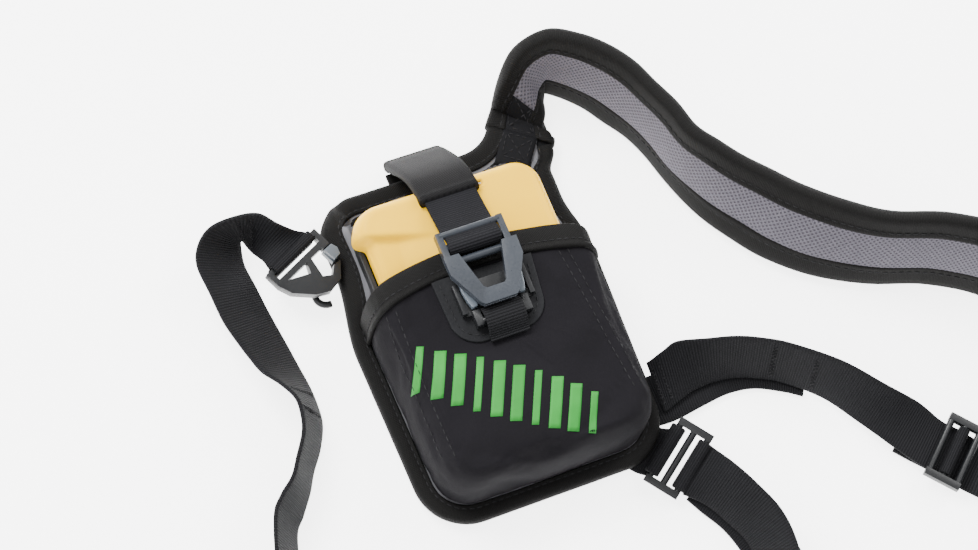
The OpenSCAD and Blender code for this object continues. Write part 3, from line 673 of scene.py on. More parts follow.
def swell(obj, keep, cap, frames=18, pressure=3.0):
    """Cloth simulation with the keep vertices pinned; no point moves more than cap."""
    before = [v.co.copy() for v in obj.data.vertices]
    group = obj.vertex_groups.new(name="pin")
    for i, w in keep.items():
        group.add([i], w, "REPLACE")
    mod = obj.modifiers.new("cloth", "CLOTH")
    s = mod.settings
    s.quality = 5
    s.mass = 0.25
    s.tension_stiffness = 25
    s.compression_stiffness = 18
    s.bending_stiffness = 1.2
    s.use_pressure = True
    s.uniform_pressure_force = pressure
    s.vertex_group_mass = "pin"
    s.effector_weights.gravity = 0.0
    s.shrink_min = -0.012
    scene = bpy.context.scene
    for f in range(1, frames + 1):
        scene.frame_set(f)
    deps = bpy.context.evaluated_depsgraph_get()
    done = obj.evaluated_get(deps).to_mesh()
    after = [v.co.copy() for v in done.vertices]
    obj.evaluated_get(deps).to_mesh_clear()
    obj.modifiers.remove(mod)
    obj.vertex_groups.remove(group)
    for v, a, b in zip(obj.data.vertices, before, after):
        d = b - a
        limit = cap(a) * MM
        if d.length > limit:
            d *= limit / d.length
        v.co = a + d
    scene.frame_set(1)


def pocket():
    rings = pocket_verts()
    m = len(rings[0])
    verts = [v for r in rings for v in r]
    coords = []
    for i, r in enumerate(rings):
        at = lengths(np.array(r))
        for j, v in enumerate(r):
            coords.append((v[0], v[1] + (v[2] if i < 15 else 35.8), v[2]))
    faces = grid_faces(len(rings), m)
    obj = piece("pocket_skin", verts, faces, M["neoprene"], "pouch", coords,
                ["front_pocket"], weld=0.08)
    keep = {}
    for v in obj.data.vertices:
        x, y, z = v.co * 1000
        hold = 0.0
        if z < 6.5 or arch_y(x) - y < 9.5:
            hold = 1.0
        elif abs(x + 1.5) < 22 and y > -17:
            hold = 0.9
        for seam in (seam_x(y, -1), seam_x(y, 1)):
            if abs(x - seam) < 1.3 and z > 30:
                hold = max(hold, 0.85)
        if hold:
            keep[v.index] = hold
    swell(obj, keep, lambda p: 1.6 if abs(p.x + 0.0015) > 0.022 or p.y < -0.017 else 0.15)
    for v in obj.data.vertices:
        x, y, z = v.co * 1000
        dip = 0.0
        for seam in (seam_x(y, -1), seam_x(y, 1)):
            if z > 28:
                dip += 0.55 * math.exp(-((x - seam) / 1.1) ** 2)
        # the bottom gathers in a soft crease
        crease = math.exp(-((y - crease_y(x)) / 1.6) ** 2) if z > 20 else 0.0
        dip += 0.9 * crease
        free = 1.0 if (abs(x + 1.5) > 23 or y < -18) and arch_y(x) - y > 10 else 0.15
        wrinkle = 0.5 * noise.noise(Vector((x * 0.05, y * 0.07, z * 0.03)))
        wrinkle += 0.16 * noise.noise(Vector((x * 0.16, y * 0.12 + 5, z * 0.1)))
        if z > 12:
            v.co.z -= dip * MM
        v.co += v.normal * wrinkle * free * MM
    solid = obj.modifiers.new("wall", "SOLIDIFY")
    solid.thickness = 2.2 * MM
    solid.offset = -1
    sub = obj.modifiers.new("smooth", "SUBSURF")
    sub.levels = sub.render_levels = 1
    return obj


def seam_x(y, side):
    """The two seams down the pocket's front."""
    if side < 0:
        return -38.3 + 0.012 * (y + 18) ** 2 * 0.05
    return 29.2 + 6.3 * max(0.0, min(1.0, (10.4 - y) / 61.7))


def crease_y(x):
    return -63.0 + 0.011 * (x + 4) ** 2 + 4.5


def wall_point(q, y, g):
    """Point on the pocket at height y: q -1 at the left base, 0 at the middle, 1 right."""
    half = 41.4 + 2.7 * (y + 48.0) / 88.0
    pts = [(half, 6.4)]
    for i in range(1, 15):
        inset, z = profile(i / 14)
        pts.append((half - inset, z))
    pts.append((0.0, 36.0))
    pts = np.array(pts)
    at = lengths(pts)
    s = (1 - abs(q)) * at[-1]
    x = float(np.interp(s, at, pts[:, 0]))
    z = float(np.interp(s, at, pts[:, 1]))
    d = 0.4
    xa, za = np.interp(s - d, at, pts[:, 0]), np.interp(s - d, at, pts[:, 1])
    xb, zb = np.interp(s + d, at, pts[:, 0]), np.interp(s + d, at, pts[:, 1])
    nx, nz = (zb - za), (xa - xb)
    ln = math.hypot(nx, nz) or 1.0
    nx, nz = nx / ln, nz / ln
    sign = -1 if q < 0 else 1
    return sign * (x + nx * g), z + nz * g, sign * nx, nz, s


def hem_row(r, g, n=120, lo=-1.0, hi=1.0):
    pts, nrm = [], []
    for i in range(n + 1):
        q = lo + (hi - lo) * i / n
        y = 15.0
        for _ in range(3):
            x, z, nx, nz, s = wall_point(q, y, g)
            y = arch_y(x, r)
        pts.append((x, y, z))
        nrm.append((nx, 0.0, nz))
    return pts, nrm


def hem():
    rows = [(149.2, -2.3), (151.3, -1.9), (152.1, -0.9), (152.2, 0.2), (151.6, 0.95),
            (150.2, 1.12), (148.4, 1.05), (146.8, 1.0), (145.9, 0.9), (145.2, 1.0),
            (144.5, 1.55), (143.8, 1.75), (143.1, 1.5), (142.7, 0.8), (142.7, 0.1),
            (144.5, -0.3), (149.0, -0.3)]
    verts, coords = [], []
    for r, g in rows:
        pts, nrm = hem_row(r, g)
        at = lengths(np.array(pts))
        for p, a in zip(pts, at):
            lift = 0.2 * noise.noise(Vector((a * 0.07, r * 0.3, 1.0)))
            verts.append((p[0], p[1] + lift, p[2]))
            coords.append((r, a, 0))
    m = len(hem_row(150, 0)[0])
    faces = grid_faces(len(rows), m)
    last = (len(rows) - 1) * m
    faces += [(j, last + j, last + j + 1, j + 1) for j in range(m - 1)]
    faces += [tuple(i * m for i in range(len(rows))),
              tuple(i * m + m - 1 for i in reversed(range(len(rows))))]
    obj = piece("hem_binding", verts, faces, M["binding"], "pouch", coords, ["pocket_hem"])
    line = hem_row(146.0, 0.98, lo=-0.92, hi=0.92)
    stitches("hem_stitches", [(line[0], line[1])], M["thread"], length=1.9, gap=0.8, r=0.24)
    return obj


def drop_on(tree, pts, lift=0.05):
    """Drops points straight onto the pocket and returns them with their normals."""
    out, nrm = [], []
    for x, y in pts:
        hit, n, _, _ = tree.ray_cast(mm(x, y, 60), Vector((0, 0, -1)))
        if hit is None:
            continue
        if n.z < 0:
            n = -n
        out.append(tuple((hit + n * lift * MM) * 1000))
        nrm.append(tuple(n))
    return out, nrm


def surface_tree(obj):
    deps = bpy.context.evaluated_depsgraph_get()
    bpy.context.view_layer.update()
    ev = obj.evaluated_get(deps)
    mesh = ev.to_mesh()
    verts = [ev.matrix_world @ v.co for v in mesh.vertices]
    tree = BVHTree.FromPolygons(verts, [tuple(p.vertices) for p in mesh.polygons])
    ev.to_mesh_clear()
    return tree


def pocket_details(tree):
    lines = []
    for side in (-1, 1):
        for shift in (-1.7, 1.7):
            ys = np.linspace(8 if side < 0 else 10, -50, 90)
            lines.append(drop_on(tree, [(seam_x(y, side) + shift, y) for y in ys]))
    stitches("pocket_seam_stitches", [(p, n) for p, n in lines if len(p) > 4], M["thread"],
             length=2.0, gap=0.9, r=0.22)
    # generic green print: a row of slanted bars that grow and shrink along an arc
    verts, faces = [], []
    for i in range(10):
        f = i / 9
        px, py = -36.5 + 52.5 * f, -15.5 - 36.0 * f ** 0.92
        tall = 13.5 + 8.0 * math.sin(math.pi * (0.12 + 0.8 * f))
        wide = 4.3 if i % 3 else 2.6
        cols, rows = 4, 10
        first = len(verts)
        grid = []
        for b in range(rows + 1):
            for c in range(cols + 1):
                a, h = wide * (c / cols - 0.5), tall * (b / rows - 0.5)
                grid.append((px + a * 0.95 + h * 0.42, py - a * 0.31 + h * 0.88))
        pts, nrm = drop_on(tree, grid, 0.16)
        if len(pts) != len(grid):
            continue
        low, _ = drop_on(tree, grid, -0.1)
        verts += pts + low
        k = len(grid)
        faces += grid_faces(rows + 1, cols + 1, False, first)
        rim = [c for c in range(cols + 1)]
        rim += [b * (cols + 1) + cols for b in range(1, rows + 1)]
        rim += [rows * (cols + 1) + c for c in range(cols - 1, -1, -1)]
        rim += [b * (cols + 1) for b in range(rows - 1, 0, -1)]
        for j, q in enumerate(rim):
            w = rim[(j + 1) % len(rim)]
            faces.append((first + q, first + w, first + k + w, first + k + q))
    piece("green_bars", verts, faces, M["green"], "pouch")


# ---------------------------------------------------------------- buckle and closure

BX = -1.5
CLOSURE = [(72.6, 3.4), (69.4, 9), (65, 15.6), (60.2, 22.2), (56, 27.0), (51.8, 30.6),
           (47.2, 33.0), (42.4, 34.8), (37.4, 36.2), (32, 37.9), (28.2, 39.4), (24.6, 41.9)]


def swept_across(name, path, width, section, mat, body, stands_for, ribs=0.0, pitch=0.9,
                 step=0.25, swell_at=None):
    """Sweeps a section along a path in the YZ plane, centred across the pouch on BX."""
    path = even(refine(path, 6), step)
    t = unit(np.gradient(path, axis=0))
    out = np.stack([t[:, 1], -t[:, 0]], 1)
    at = lengths(path)
    verts, coords = [], []
    for i, (y, z) in enumerate(path):
        rib = ribs * (abs(math.sin(math.pi * at[i] / pitch)) - 0.5)
        grow = swell_at(at[i] / at[-1]) if swell_at else 0.0
        for u, n in section:
            k = n + (rib if n > 0 else -rib) * (1 if abs(n) > 0.3 else 0.3) + grow * (
                1 if n > 0 else -1)
            verts.append((BX + (u - 0.5) * width, y + out[i][0] * -k, z + out[i][1] * -k))
            coords.append((u * width, at[i], n))
    m = len(section)
    rows = len(path)
    faces = grid_faces(rows, m, True)
    faces += [tuple(range(m)), tuple((rows - 1) * m + j for j in reversed(range(m)))]
    return piece(name, verts, faces, mat, body, coords, stands_for)


def closure():
    wrap = arc(21, 41, 2.45, 62, 318, 22)
    sec = flat_section(1.5, base=-0.75, n=10, e=0.03)
    swept_across("closure_strap", CLOSURE + wrap, 20, sec, M["closure"], "strap_half",
                 ["closure_webbing"], ribs=0.14)
    # the binding sleeve folds round the webbing and ends in a rolled lip
    a = [(u, n) for u, n in flat_section(4.2, base=-2.1, n=8, e=0.07, crown=0.25)]
    swept_across("closure_sleeve_cloth", CLOSURE[:8], 23, a, M["sleeve"], "strap_half",
                 ["closure_sleeve"], step=0.8,
                 swell_at=lambda s: 0.42 * math.exp(-((s - 0.965) / 0.02) ** 2)
                 + 0.3 * math.exp(-((s - 0.03) / 0.03) ** 2)
                 + 0.1 * math.sin(s * 9))
    path = even(refine(CLOSURE[:8], 6), 0.6)
    t = unit(np.gradient(path, axis=0))
    out = -np.stack([t[:, 1], -t[:, 0]], 1)
    lines = []
    for dx in (-9.6, 9.6):
        pts = [(BX + dx, p[0] + o[0] * 2.3, p[1] + o[1] * 2.3) for p, o in zip(path, out)]
        lines.append((pts[4:-4], [(0, o[0], o[1]) for o in out][4:-4]))
    i = len(path) - 7
    row = [(BX + x, path[i][0] + out[i][0] * 2.42, path[i][1] + out[i][1] * 2.42)
           for x in np.linspace(-10, 10, 20)]
    lines.append((row, (0, out[i][0], out[i][1])))
    stitches("sleeve_stitches", lines, M["thread"], "strap_half", 1.8, 0.8, 0.22)


def buckle():
    soften("buckle_plug", M["slate"], 0.6, 3)
    soften("buckle_socket", M["dark"], 0.35, 2)
    soften("release_tab_left", M["tab"], 0.5, 3)
    soften("release_tab_right", M["tab"], 0.5, 3)
    loop = [(-15.8, 37.5), (-14.2, 38.4), (-12.6, 40.2), (-10.8, 42.0), (-8.6, 42.9),
            (-6.3, 42.6), (-4.6, 41.3), (-4.2, 39.6), (-5.2, 38.3)]
    swept_across("anchor_webbing_loop", loop, 15,
                 flat_section(1.3, base=-0.65, n=8, e=0.04), M["webbing"], "pouch",
                 ["anchor_loop"], ribs=0.08, pitch=1.0)
    soften("rubber_patch", M["patch"], 0.45, 3)
    edge = [(-16.9, 11.4)] + arc(-8.5, -4, 8.0, 190, 270, 10)
    edge += arc(6.5, -4, 8.0, 270, 350, 10) + [(16.5, 10.4)]
    pts = even([(x + BX, y, PATCH_Z + 0.06) for x, y in edge], 1.0)
    stitches("patch_stitches", [(pts, (0, 0, 1))], M["thread"], length=1.7, gap=0.9, r=0.22)


# ---------------------------------------------------------------- straps

SHOULDER = [[[47.3, 54.8, 0.8], [26.3, 70, 0.8]], [[51.4, 60.5, 0.8], [30.4, 75.7, 0.8]],
  [[51.6, 61.8, 0.8], [31.2, 77, 0.8]], [[52.4, 68, 1.2], [36.8, 84, 0.9]],
  [[52.8, 75, 1.2], [38, 87.5, 15]], [[54, 82, 1.2], [45, 93, 28]],
  [[58, 86.5, 1.2], [57, 93, 36]], [[64, 83, 1.2], [68, 87, 37]],
  [[72, 75, 1.2], [77, 79, 37]], [[78, 66, 1.2], [84, 70, 36]], [[84, 57, 1.2], [88, 60, 36]],
  [[88, 47, 1.2], [92, 49, 37]], [[91, 36, 1.2], [95, 38, 37]],
  [[94, 26, 1.2], [101, 30, 36]], [[98, 16, 1.2], [108, 22, 34]],
  [[104, 6, 1.2], [116, 14, 33]], [[113, -6, 1.2], [125, 4, 33]],
  [[127, -18, 1.2], [137, -7, 34]], [[146, -28, 1.2], [152, -17, 34]],
  [[168, -36, 1.2], [174, -26, 35]], [[188, -49, 1.2], [195, -42, 36]],
  [[200, -68, 1.2], [207, -66, 36]], [[201, -88, 2], [208, -91, 35]],
  [[192, -104, 5], [198, -110, 31]], [[183, -110, 8], [187, -117, 28]]]
SHOULDER_WEB = [[[190, -105, 5], [196, -112, 30]], [[183, -110, 8], [187, -117, 27.5]],
  [[176, -115, 5], [178, -126, 21]], [[169, -116, 3], [167, -131, 15]],
  [[164, -113, 0.3], [154, -129, 5]], [[160, -106, 0.2], [145, -119, 0.2]],
  [[154, -98, 0.2], [139, -111, 0.2]], [[145, -88, 0.2], [130, -101, 0.2]],
  [[140, -82, 0.2], [125, -95, 0.2]]]
SIDE = [[[40, -53, 2], [40, -33, 2]], [[50, -52.5, 2], [51, -32.5, 2.4]],
  [[56, -50.5, 2], [57, -31.5, 8]], [[63, -48, 2], [62, -31, 13]],
  [[72, -47, 2], [72, -35, 18]], [[80, -48, 2], [82, -38, 19]],
  [[88, -51, 2], [91, -42, 19]], [[97, -56, 2], [101, -48, 19]],
  [[109, -67, 2], [116, -60, 18]], [[118, -81, 2], [129, -73, 14]],
  [[125, -93, 2], [140, -82, 7]], [[132, -104, 2], [147, -91, 2.2]],
  [[138, -110.5, 2], [153, -97.5, 2]], [[142, -115, 2], [157, -102, 2]]]
SIDE_UNDER = [[[46.8, -56.2, 0.2], [46.8, -37, 0.2]],
  [[51, -56.4, 0.2], [51, -37, 0.2]], [[56, -56, 0.2], [57, -36.5, 0.2]],
  [[66, -54.5, 0.2], [67, -35, 0.2]], [[76, -53.5, 0.2], [78, -34.5, 0.2]],
  [[86, -55, 0.2], [91, -37, 0.2]], [[96, -60, 0.2], [104, -43, 0.2]],
  [[102, -64, 0.2], [112, -48, 0.2]]]
BELT = [[[43.7, -83.9, 2.8], [59.3, -72, 8.8]], [[50.5, -90, 2.4], [62.5, -82, 16]],
  [[55, -98, 2.4], [67, -92, 17]], [[59, -107, 2.4], [71, -104, 18]],
  [[60, -117, 2.4], [71, -117, 19]], [[58, -128, 2.2], [67, -132, 20]],
  [[51, -138, 2], [58, -145, 20]], [[40, -146, 1], [44, -154, 19]],
  [[25, -151, 0.4], [27, -159, 19]], [[8, -154, 0.4], [9, -161, 19]],
  [[-10, -155, 0.4], [-10, -162, 19]], [[-32, -153, 0.4], [-34, -160, 19]],
  [[-54, -147, 0.4], [-57, -154, 19]], [[-74, -137, 0.4], [-79, -143, 19]],
  [[-90, -123, 0.4], [-97, -127, 19]], [[-99, -106, 0.4], [-107, -107, 19]],
  [[-101, -88, 0.4], [-109, -87, 19]], [[-99, -70, 0.4], [-107, -66, 19]],
  [[-94, -50, 0.4], [-101, -45, 19]], [[-89, -43, 0.4], [-96, -38, 19]],
  [[-84, -36, 0.4], [-90, -33, 20]], [[-80, -29, 0.4], [-86, -27, 20]],
  [[-75, -22, 0.4], [-81, -19, 20]], [[-71, -14, 0.4], [-79, -12, 19]],
  [[-70, -7, 0.4], [-79, -6, 19]], [[-70, 1, 0.4], [-82, 1, 17]],
  [[-71, 10, 0.4], [-86, 8, 14]], [[-72, 19, 0.4], [-88, 15, 12]],
  [[-73, 27, 0.4], [-90, 23, 11]], [[-74, 35, 0.4], [-92, 32, 11]],
  [[-75, 44, 0.8], [-93, 43, 12]], [[-76, 53, 1.2], [-94, 55, 13]],
  [[-75, 60, 1.6], [-91, 62, 15]], [[-74, 63, 2], [-85, 66, 18]],
  [[-73, 63.5, 2.5], [-76, 66, 21]], [[-72, 61, 3], [-67, 64, 22]],
  [[-71, 56, 5], [-61, 59, 19]], [[-69.7, 50, 9], [-55, 55.6, 14]],
  [[-69.1, 44.9, 11.4], [-51.3, 53.9, 11.8]], [[-67.5, 41, 11.8], [-49.6, 50, 11.8]]]
TAIL = [[[44.6, -85.4, 0.2], [60.6, -73.4, 0.2]], [[48, -92, 0.2], [64, -81, 0.2]],
  [[53, -101, 0.2], [70, -92, 0.2]], [[56, -112, 0.2], [75, -106, 0.2]],
  [[57, -124, 0.2], [77, -122, 0.2]], [[56, -132, 0.2], [76, -133, 0.2]]]


def zigzag(name, route, span, n, u0=0.12, u1=0.88, turns=9, rows=2, k=6, spread=2.2):
    """Zigzag bar tacks across a strap near a span of its stations."""
    lines = []
    a, na = surface_line(route, span, u0, n, k, 0.4)
    b, nb = surface_line(route, span, u1, n, k, 0.4)
    m = min(len(a), len(b)) - 1
    for r in range(rows):
        pts, nrm = [], []
        for i in range(turns * 2 + 1):
            f = i / (turns * 2)
            j = int(min(m, max(0, (0.2 + 0.6 * r / max(1, rows - 1)) * m
                               + (spread if i % 2 else -spread))))
            pts.append(a[j] * (1 - f) + b[j] * f)
            nrm.append(na[j] * (1 - f) + nb[j] * f)
        lines.append((pts, nrm))
    return stitches(name, lines, M["thread"], length=1.5, gap=0.12, r=0.26)


def shoulder_strap():
    pad, _ = strap("shoulder_pad", SHOULDER, (1, 24), flat_section(3.9, 0.05, 0.01, 0.99, 10),
                   M["panel"], ["shoulder_strap_upper", "shoulder_strap_middle",
                                "shoulder_strap_lower"], wave=0.1)
    face, run = strap("shoulder_mesh_face", SHOULDER, (4, 23),
                      flat_section(0.9, 3.8, 0.235, 0.765, 14, 0.01, 0.35),
                      M["mesh"], ["shoulder_mesh"], wave=0.22, k=8)
    low = [(0.262, -0.55), (0.14, -0.75), (0.03, -0.7), (-0.012, -0.2), (-0.03, 1.2),
           (-0.03, 2.8), (-0.012, 4.3), (0.02, 4.95), (0.08, 5.0), (0.16, 4.85),
           (0.195, 4.72), (0.215, 4.9), (0.245, 5.0), (0.268, 4.75), (0.272, 4.3),
           (0.262, 4.0), (0.12, 3.95), (0.015, 3.3), (0.01, 0.6), (0.12, 0.05), (0.26, -0.05)]
    strap("shoulder_edge_low", SHOULDER, (1, 24), low, M["binding"], ["shoulder_binding"],
          wave=0.2, seed=2.0)
    strap("shoulder_edge_high", SHOULDER, (1, 24), [(1 - u, n) for u, n in low], M["binding"],
          (), wave=0.2, seed=5.0)
    lines = [surface_line(SHOULDER, (1, 24), u, 4.82) for u in (0.195, 0.805)]
    stitches("shoulder_stitches", lines, M["thread"], length=2.2, gap=0.9, r=0.26)
    patch, run = strap("neck_patch_cloth", SHOULDER, (1, 4),
                       flat_section(0.8, 3.9, 0.235, 0.765, 8, 0.02, 0.2), M["neck"], (),
                       wave=0.1)
    lines = []
    for u in (0.30, 0.70):
        lines.append(surface_line(SHOULDER, (2, 4), u, 4.85, 6, 0.8))
    pa, na = surface_line(SHOULDER, (2, 4), 0.30, 4.85, 6, 0.5)
    pb, nb = surface_line(SHOULDER, (2, 4), 0.70, 4.85, 6, 0.5)
    lines.append(([pa[0], pb[0]], na[0]))
    lines.append(([pa[0], pb[-1]], na[0]))
    lines.append(([pb[0], pa[-1]], na[0]))
    lines.append(([pa[-1], pb[-1]], na[-1]))
    stitches("neck_box_stitches", [(even(p, 1.0), n[0] if np.ndim(n) > 1 else n)
                                   for p, n in lines], M["thread"], length=1.9, gap=0.8, r=0.24)


def neck_flat():
    """Cloth patch where the shoulder strap joins the panel."""
    d = 6.3
    a, b = NECK_L + d * NECK_SIDE, NECK_R - d * NECK_SIDE
    back = np.array([-0.588, -0.809])
    rows = []
    for i in range(9):
        s = i / 8
        for j in range(9):
            f = j / 8
            p = a * (1 - f) + b * f + back * (15.0 * s)
            edge = min(1 - s, 1.0) * 8
            rows.append((p[0], p[1], 5.35 + 0.35 * min(1.0, edge)))
    low = [(x, y, 4.6) for x, y, z in rows]
    verts = rows + low
    faces = grid_faces(9, 9) + grid_faces(9, 9, False, 81)
    rim = list(range(9)) + [9 * i + 8 for i in range(1, 9)]
    rim += [72 + j for j in range(7, -1, -1)] + [9 * i for i in range(7, 0, -1)]
    for i, q in enumerate(rim):
        w = rim[(i + 1) % len(rim)]
        faces.append((q, w, w + 81, q + 81))
    obj = piece("neck_cloth_flat", verts, faces, M["neck"], "pouch", None, ["neck_patch"])
    p = lambda s, f: tuple((a * (1 - f) + b * f + back * 13.5 * s)) + (5.78,)
    lines = [([p(0.08, 0.12), p(0.08, 0.88)], (0, 0, 1)), ([p(0.8, 0.15), p(0.8, 0.85)], (0, 0, 1)),
             ([p(0.08, 0.12), p(0.8, 0.15)], (0, 0, 1)), ([p(0.08, 0.88), p(0.8, 0.85)], (0, 0, 1)),
             ([p(0.08, 0.12), p(0.8, 0.85)], (0, 0, 1)), ([p(0.08, 0.88), p(0.8, 0.15)], (0, 0, 1))]
    stitches("neck_stitches", [(even(q, 1.0), n) for q, n in lines], M["thread"], length=1.8,
             gap=0.8, r=0.24)
    return obj


def webbing_straps():
    sec = flat_section(1.5, 0.0, n=10, e=0.03)
    made = []
    for name, route, span, nodes, seed in (
            ("side_strap", SIDE, (1, 12), ["side_webbing"], 1.0),
            ("side_strap_under", SIDE_UNDER, (0, 7), ["side_webbing_under"], 2.0),
            ("shoulder_lower_strap", SHOULDER_WEB, (1, 8), ["shoulder_webbing"], 3.0),
            ("belt_strap", BELT, (0, 38), ["belt_webbing_right", "belt_webbing_middle",
                                           "belt_webbing_left", "belt_webbing_bend"], 4.0),
            ("belt_tail_strap", TAIL, (0, 5), ["belt_tail"], 5.0)):
        flat = min(s[0][2] for s in route) > 0.15 and max(s[1][2] for s in route) < 0.5
        obj, run = strap(name, route, span, sec, M["webbing"], nodes, k=8,
                         wave=0.0 if flat else 0.16, seed=seed)
        made.append(obj)
    zigzag("side_bar_tack", SIDE, (6, 8), 1.56, rows=2)
    zigzag("side_sewn_end", SIDE, (1, 2), 1.56, rows=2, turns=7, spread=1.4)
    zigzag("hook_strap_tack", BELT, (34, 36), 1.56, rows=2, turns=8, spread=1.6)
    zigzag("belt_tack", BELT, (23, 25), 1.56, rows=2, turns=8, spread=2.0)
    return made


def loop_round(name, centre, rot, y, r_in, r_out, mat, stands_for=()):
    """Webbing loop round a bar of a slide buckle, 20 mm wide."""
    verts, coords = [], []
    n = 28
    sec = flat_section(r_out - r_in, r_in, n=8, e=0.03)
    for i in range(n):
        a = 2 * math.pi * i / n
        for u, rad in sec:
            p = Vector((-10 + 20 * u, y + rad * math.cos(a), rad * math.sin(a)))
            q = rot @ p
            verts.append((centre[0] + q.x, centre[1] + q.y, centre[2] + q.z))
            coords.append((u * 20, rad * a, 0))
    m = len(sec)
    faces = grid_faces(n, m, True)
    faces += [((n - 1) * m + j, (n - 1) * m + (j + 1) % m, (j + 1) % m, j) for j in range(m)]
    return piece(name, verts, faces, mat, "pouch", coords, stands_for)


def hardware():
    ring = Matrix.Rotation(math.radians(36.9), 3, "Z") @ Matrix.Rotation(math.radians(-18), 3, "Y")
    slide = Matrix.Rotation(math.radians(40.9), 3, "Z")
    loop_round("belt_loop_outer", (46.5, -71.2, 6.6), ring, -5.7, 1.4, 2.8, M["webbing"])
    loop_round("belt_loop_inner", (46.5, -71.2, 6.6), ring, 5.7, 1.4, 2.8, M["webbing"])
    loop_round("slide_loop", (145.5, -104, 5.2), slide, 0.0, 1.4, 2.2, M["webbing"])
    route = [[[23, -59, 0.2], [39, -47, 0.2]], [[27, -64.3, 0.2], [43, -52.3, 0.2]],
             [[31, -69.6, 0.2], [47, -57.6, 0.2]], [[34.6, -72.7, 1.4], [50.2, -61.2, 7.2]]]
    strap("belt_anchor_strap", route, (0, 3), flat_section(1.5, 0.0, n=8, e=0.03),
          M["webbing"], ["belt_anchor"], k=3, wave=0.0)
    at_hook = (Matrix.Rotation(math.radians(26.6), 3, "Z")
               @ Matrix.Rotation(math.radians(8), 3, "X"))
    verts, coords = [], []
    sec = flat_section(1.5, 0.0, n=8, e=0.03)
    loop = [(2.8, -2.7), (2.8, 2.7), (2.3, 3.1), (0.5, 3.1), (0.05, 2.7), (0.05, -2.7),
            (0.5, -3.1), (2.3, -3.1)]
    for i, (y, z) in enumerate(loop):
        c = Vector((0, y - 1.4, z)).normalized()
        for u, n in sec:
            q = at_hook @ Vector((-9.9 + 19.8 * u, y + c.y * n * 0.9, z + c.z * n * 0.9))
            verts.append((-58.9 + q.x, 46.6 + q.y, 11.8 + q.z))
            coords.append((u * 20, i * 3.0, 0))
    m = len(sec)
    faces = grid_faces(len(loop), m, True)
    faces += [((len(loop) - 1) * m + j, (len(loop) - 1) * m + (j + 1) % m, (j + 1) % m, j)
              for j in range(m)]
    piece("hook_strap_loop", verts, faces, M["webbing"], "pouch", coords)
    soften("shoulder_adjuster", M["dark"], 0.45, 2)
    soften("belt_adjuster", M["dark"], 0.45, 2)
    soften("hook_body", M["dark"], 0.7, 3)
    soften("hook_gate", M["tab"], 0.5, 3)
    soften("side_loop", M["dark"], 0.2, 1)


# ---------------------------------------------------------------- transceiver

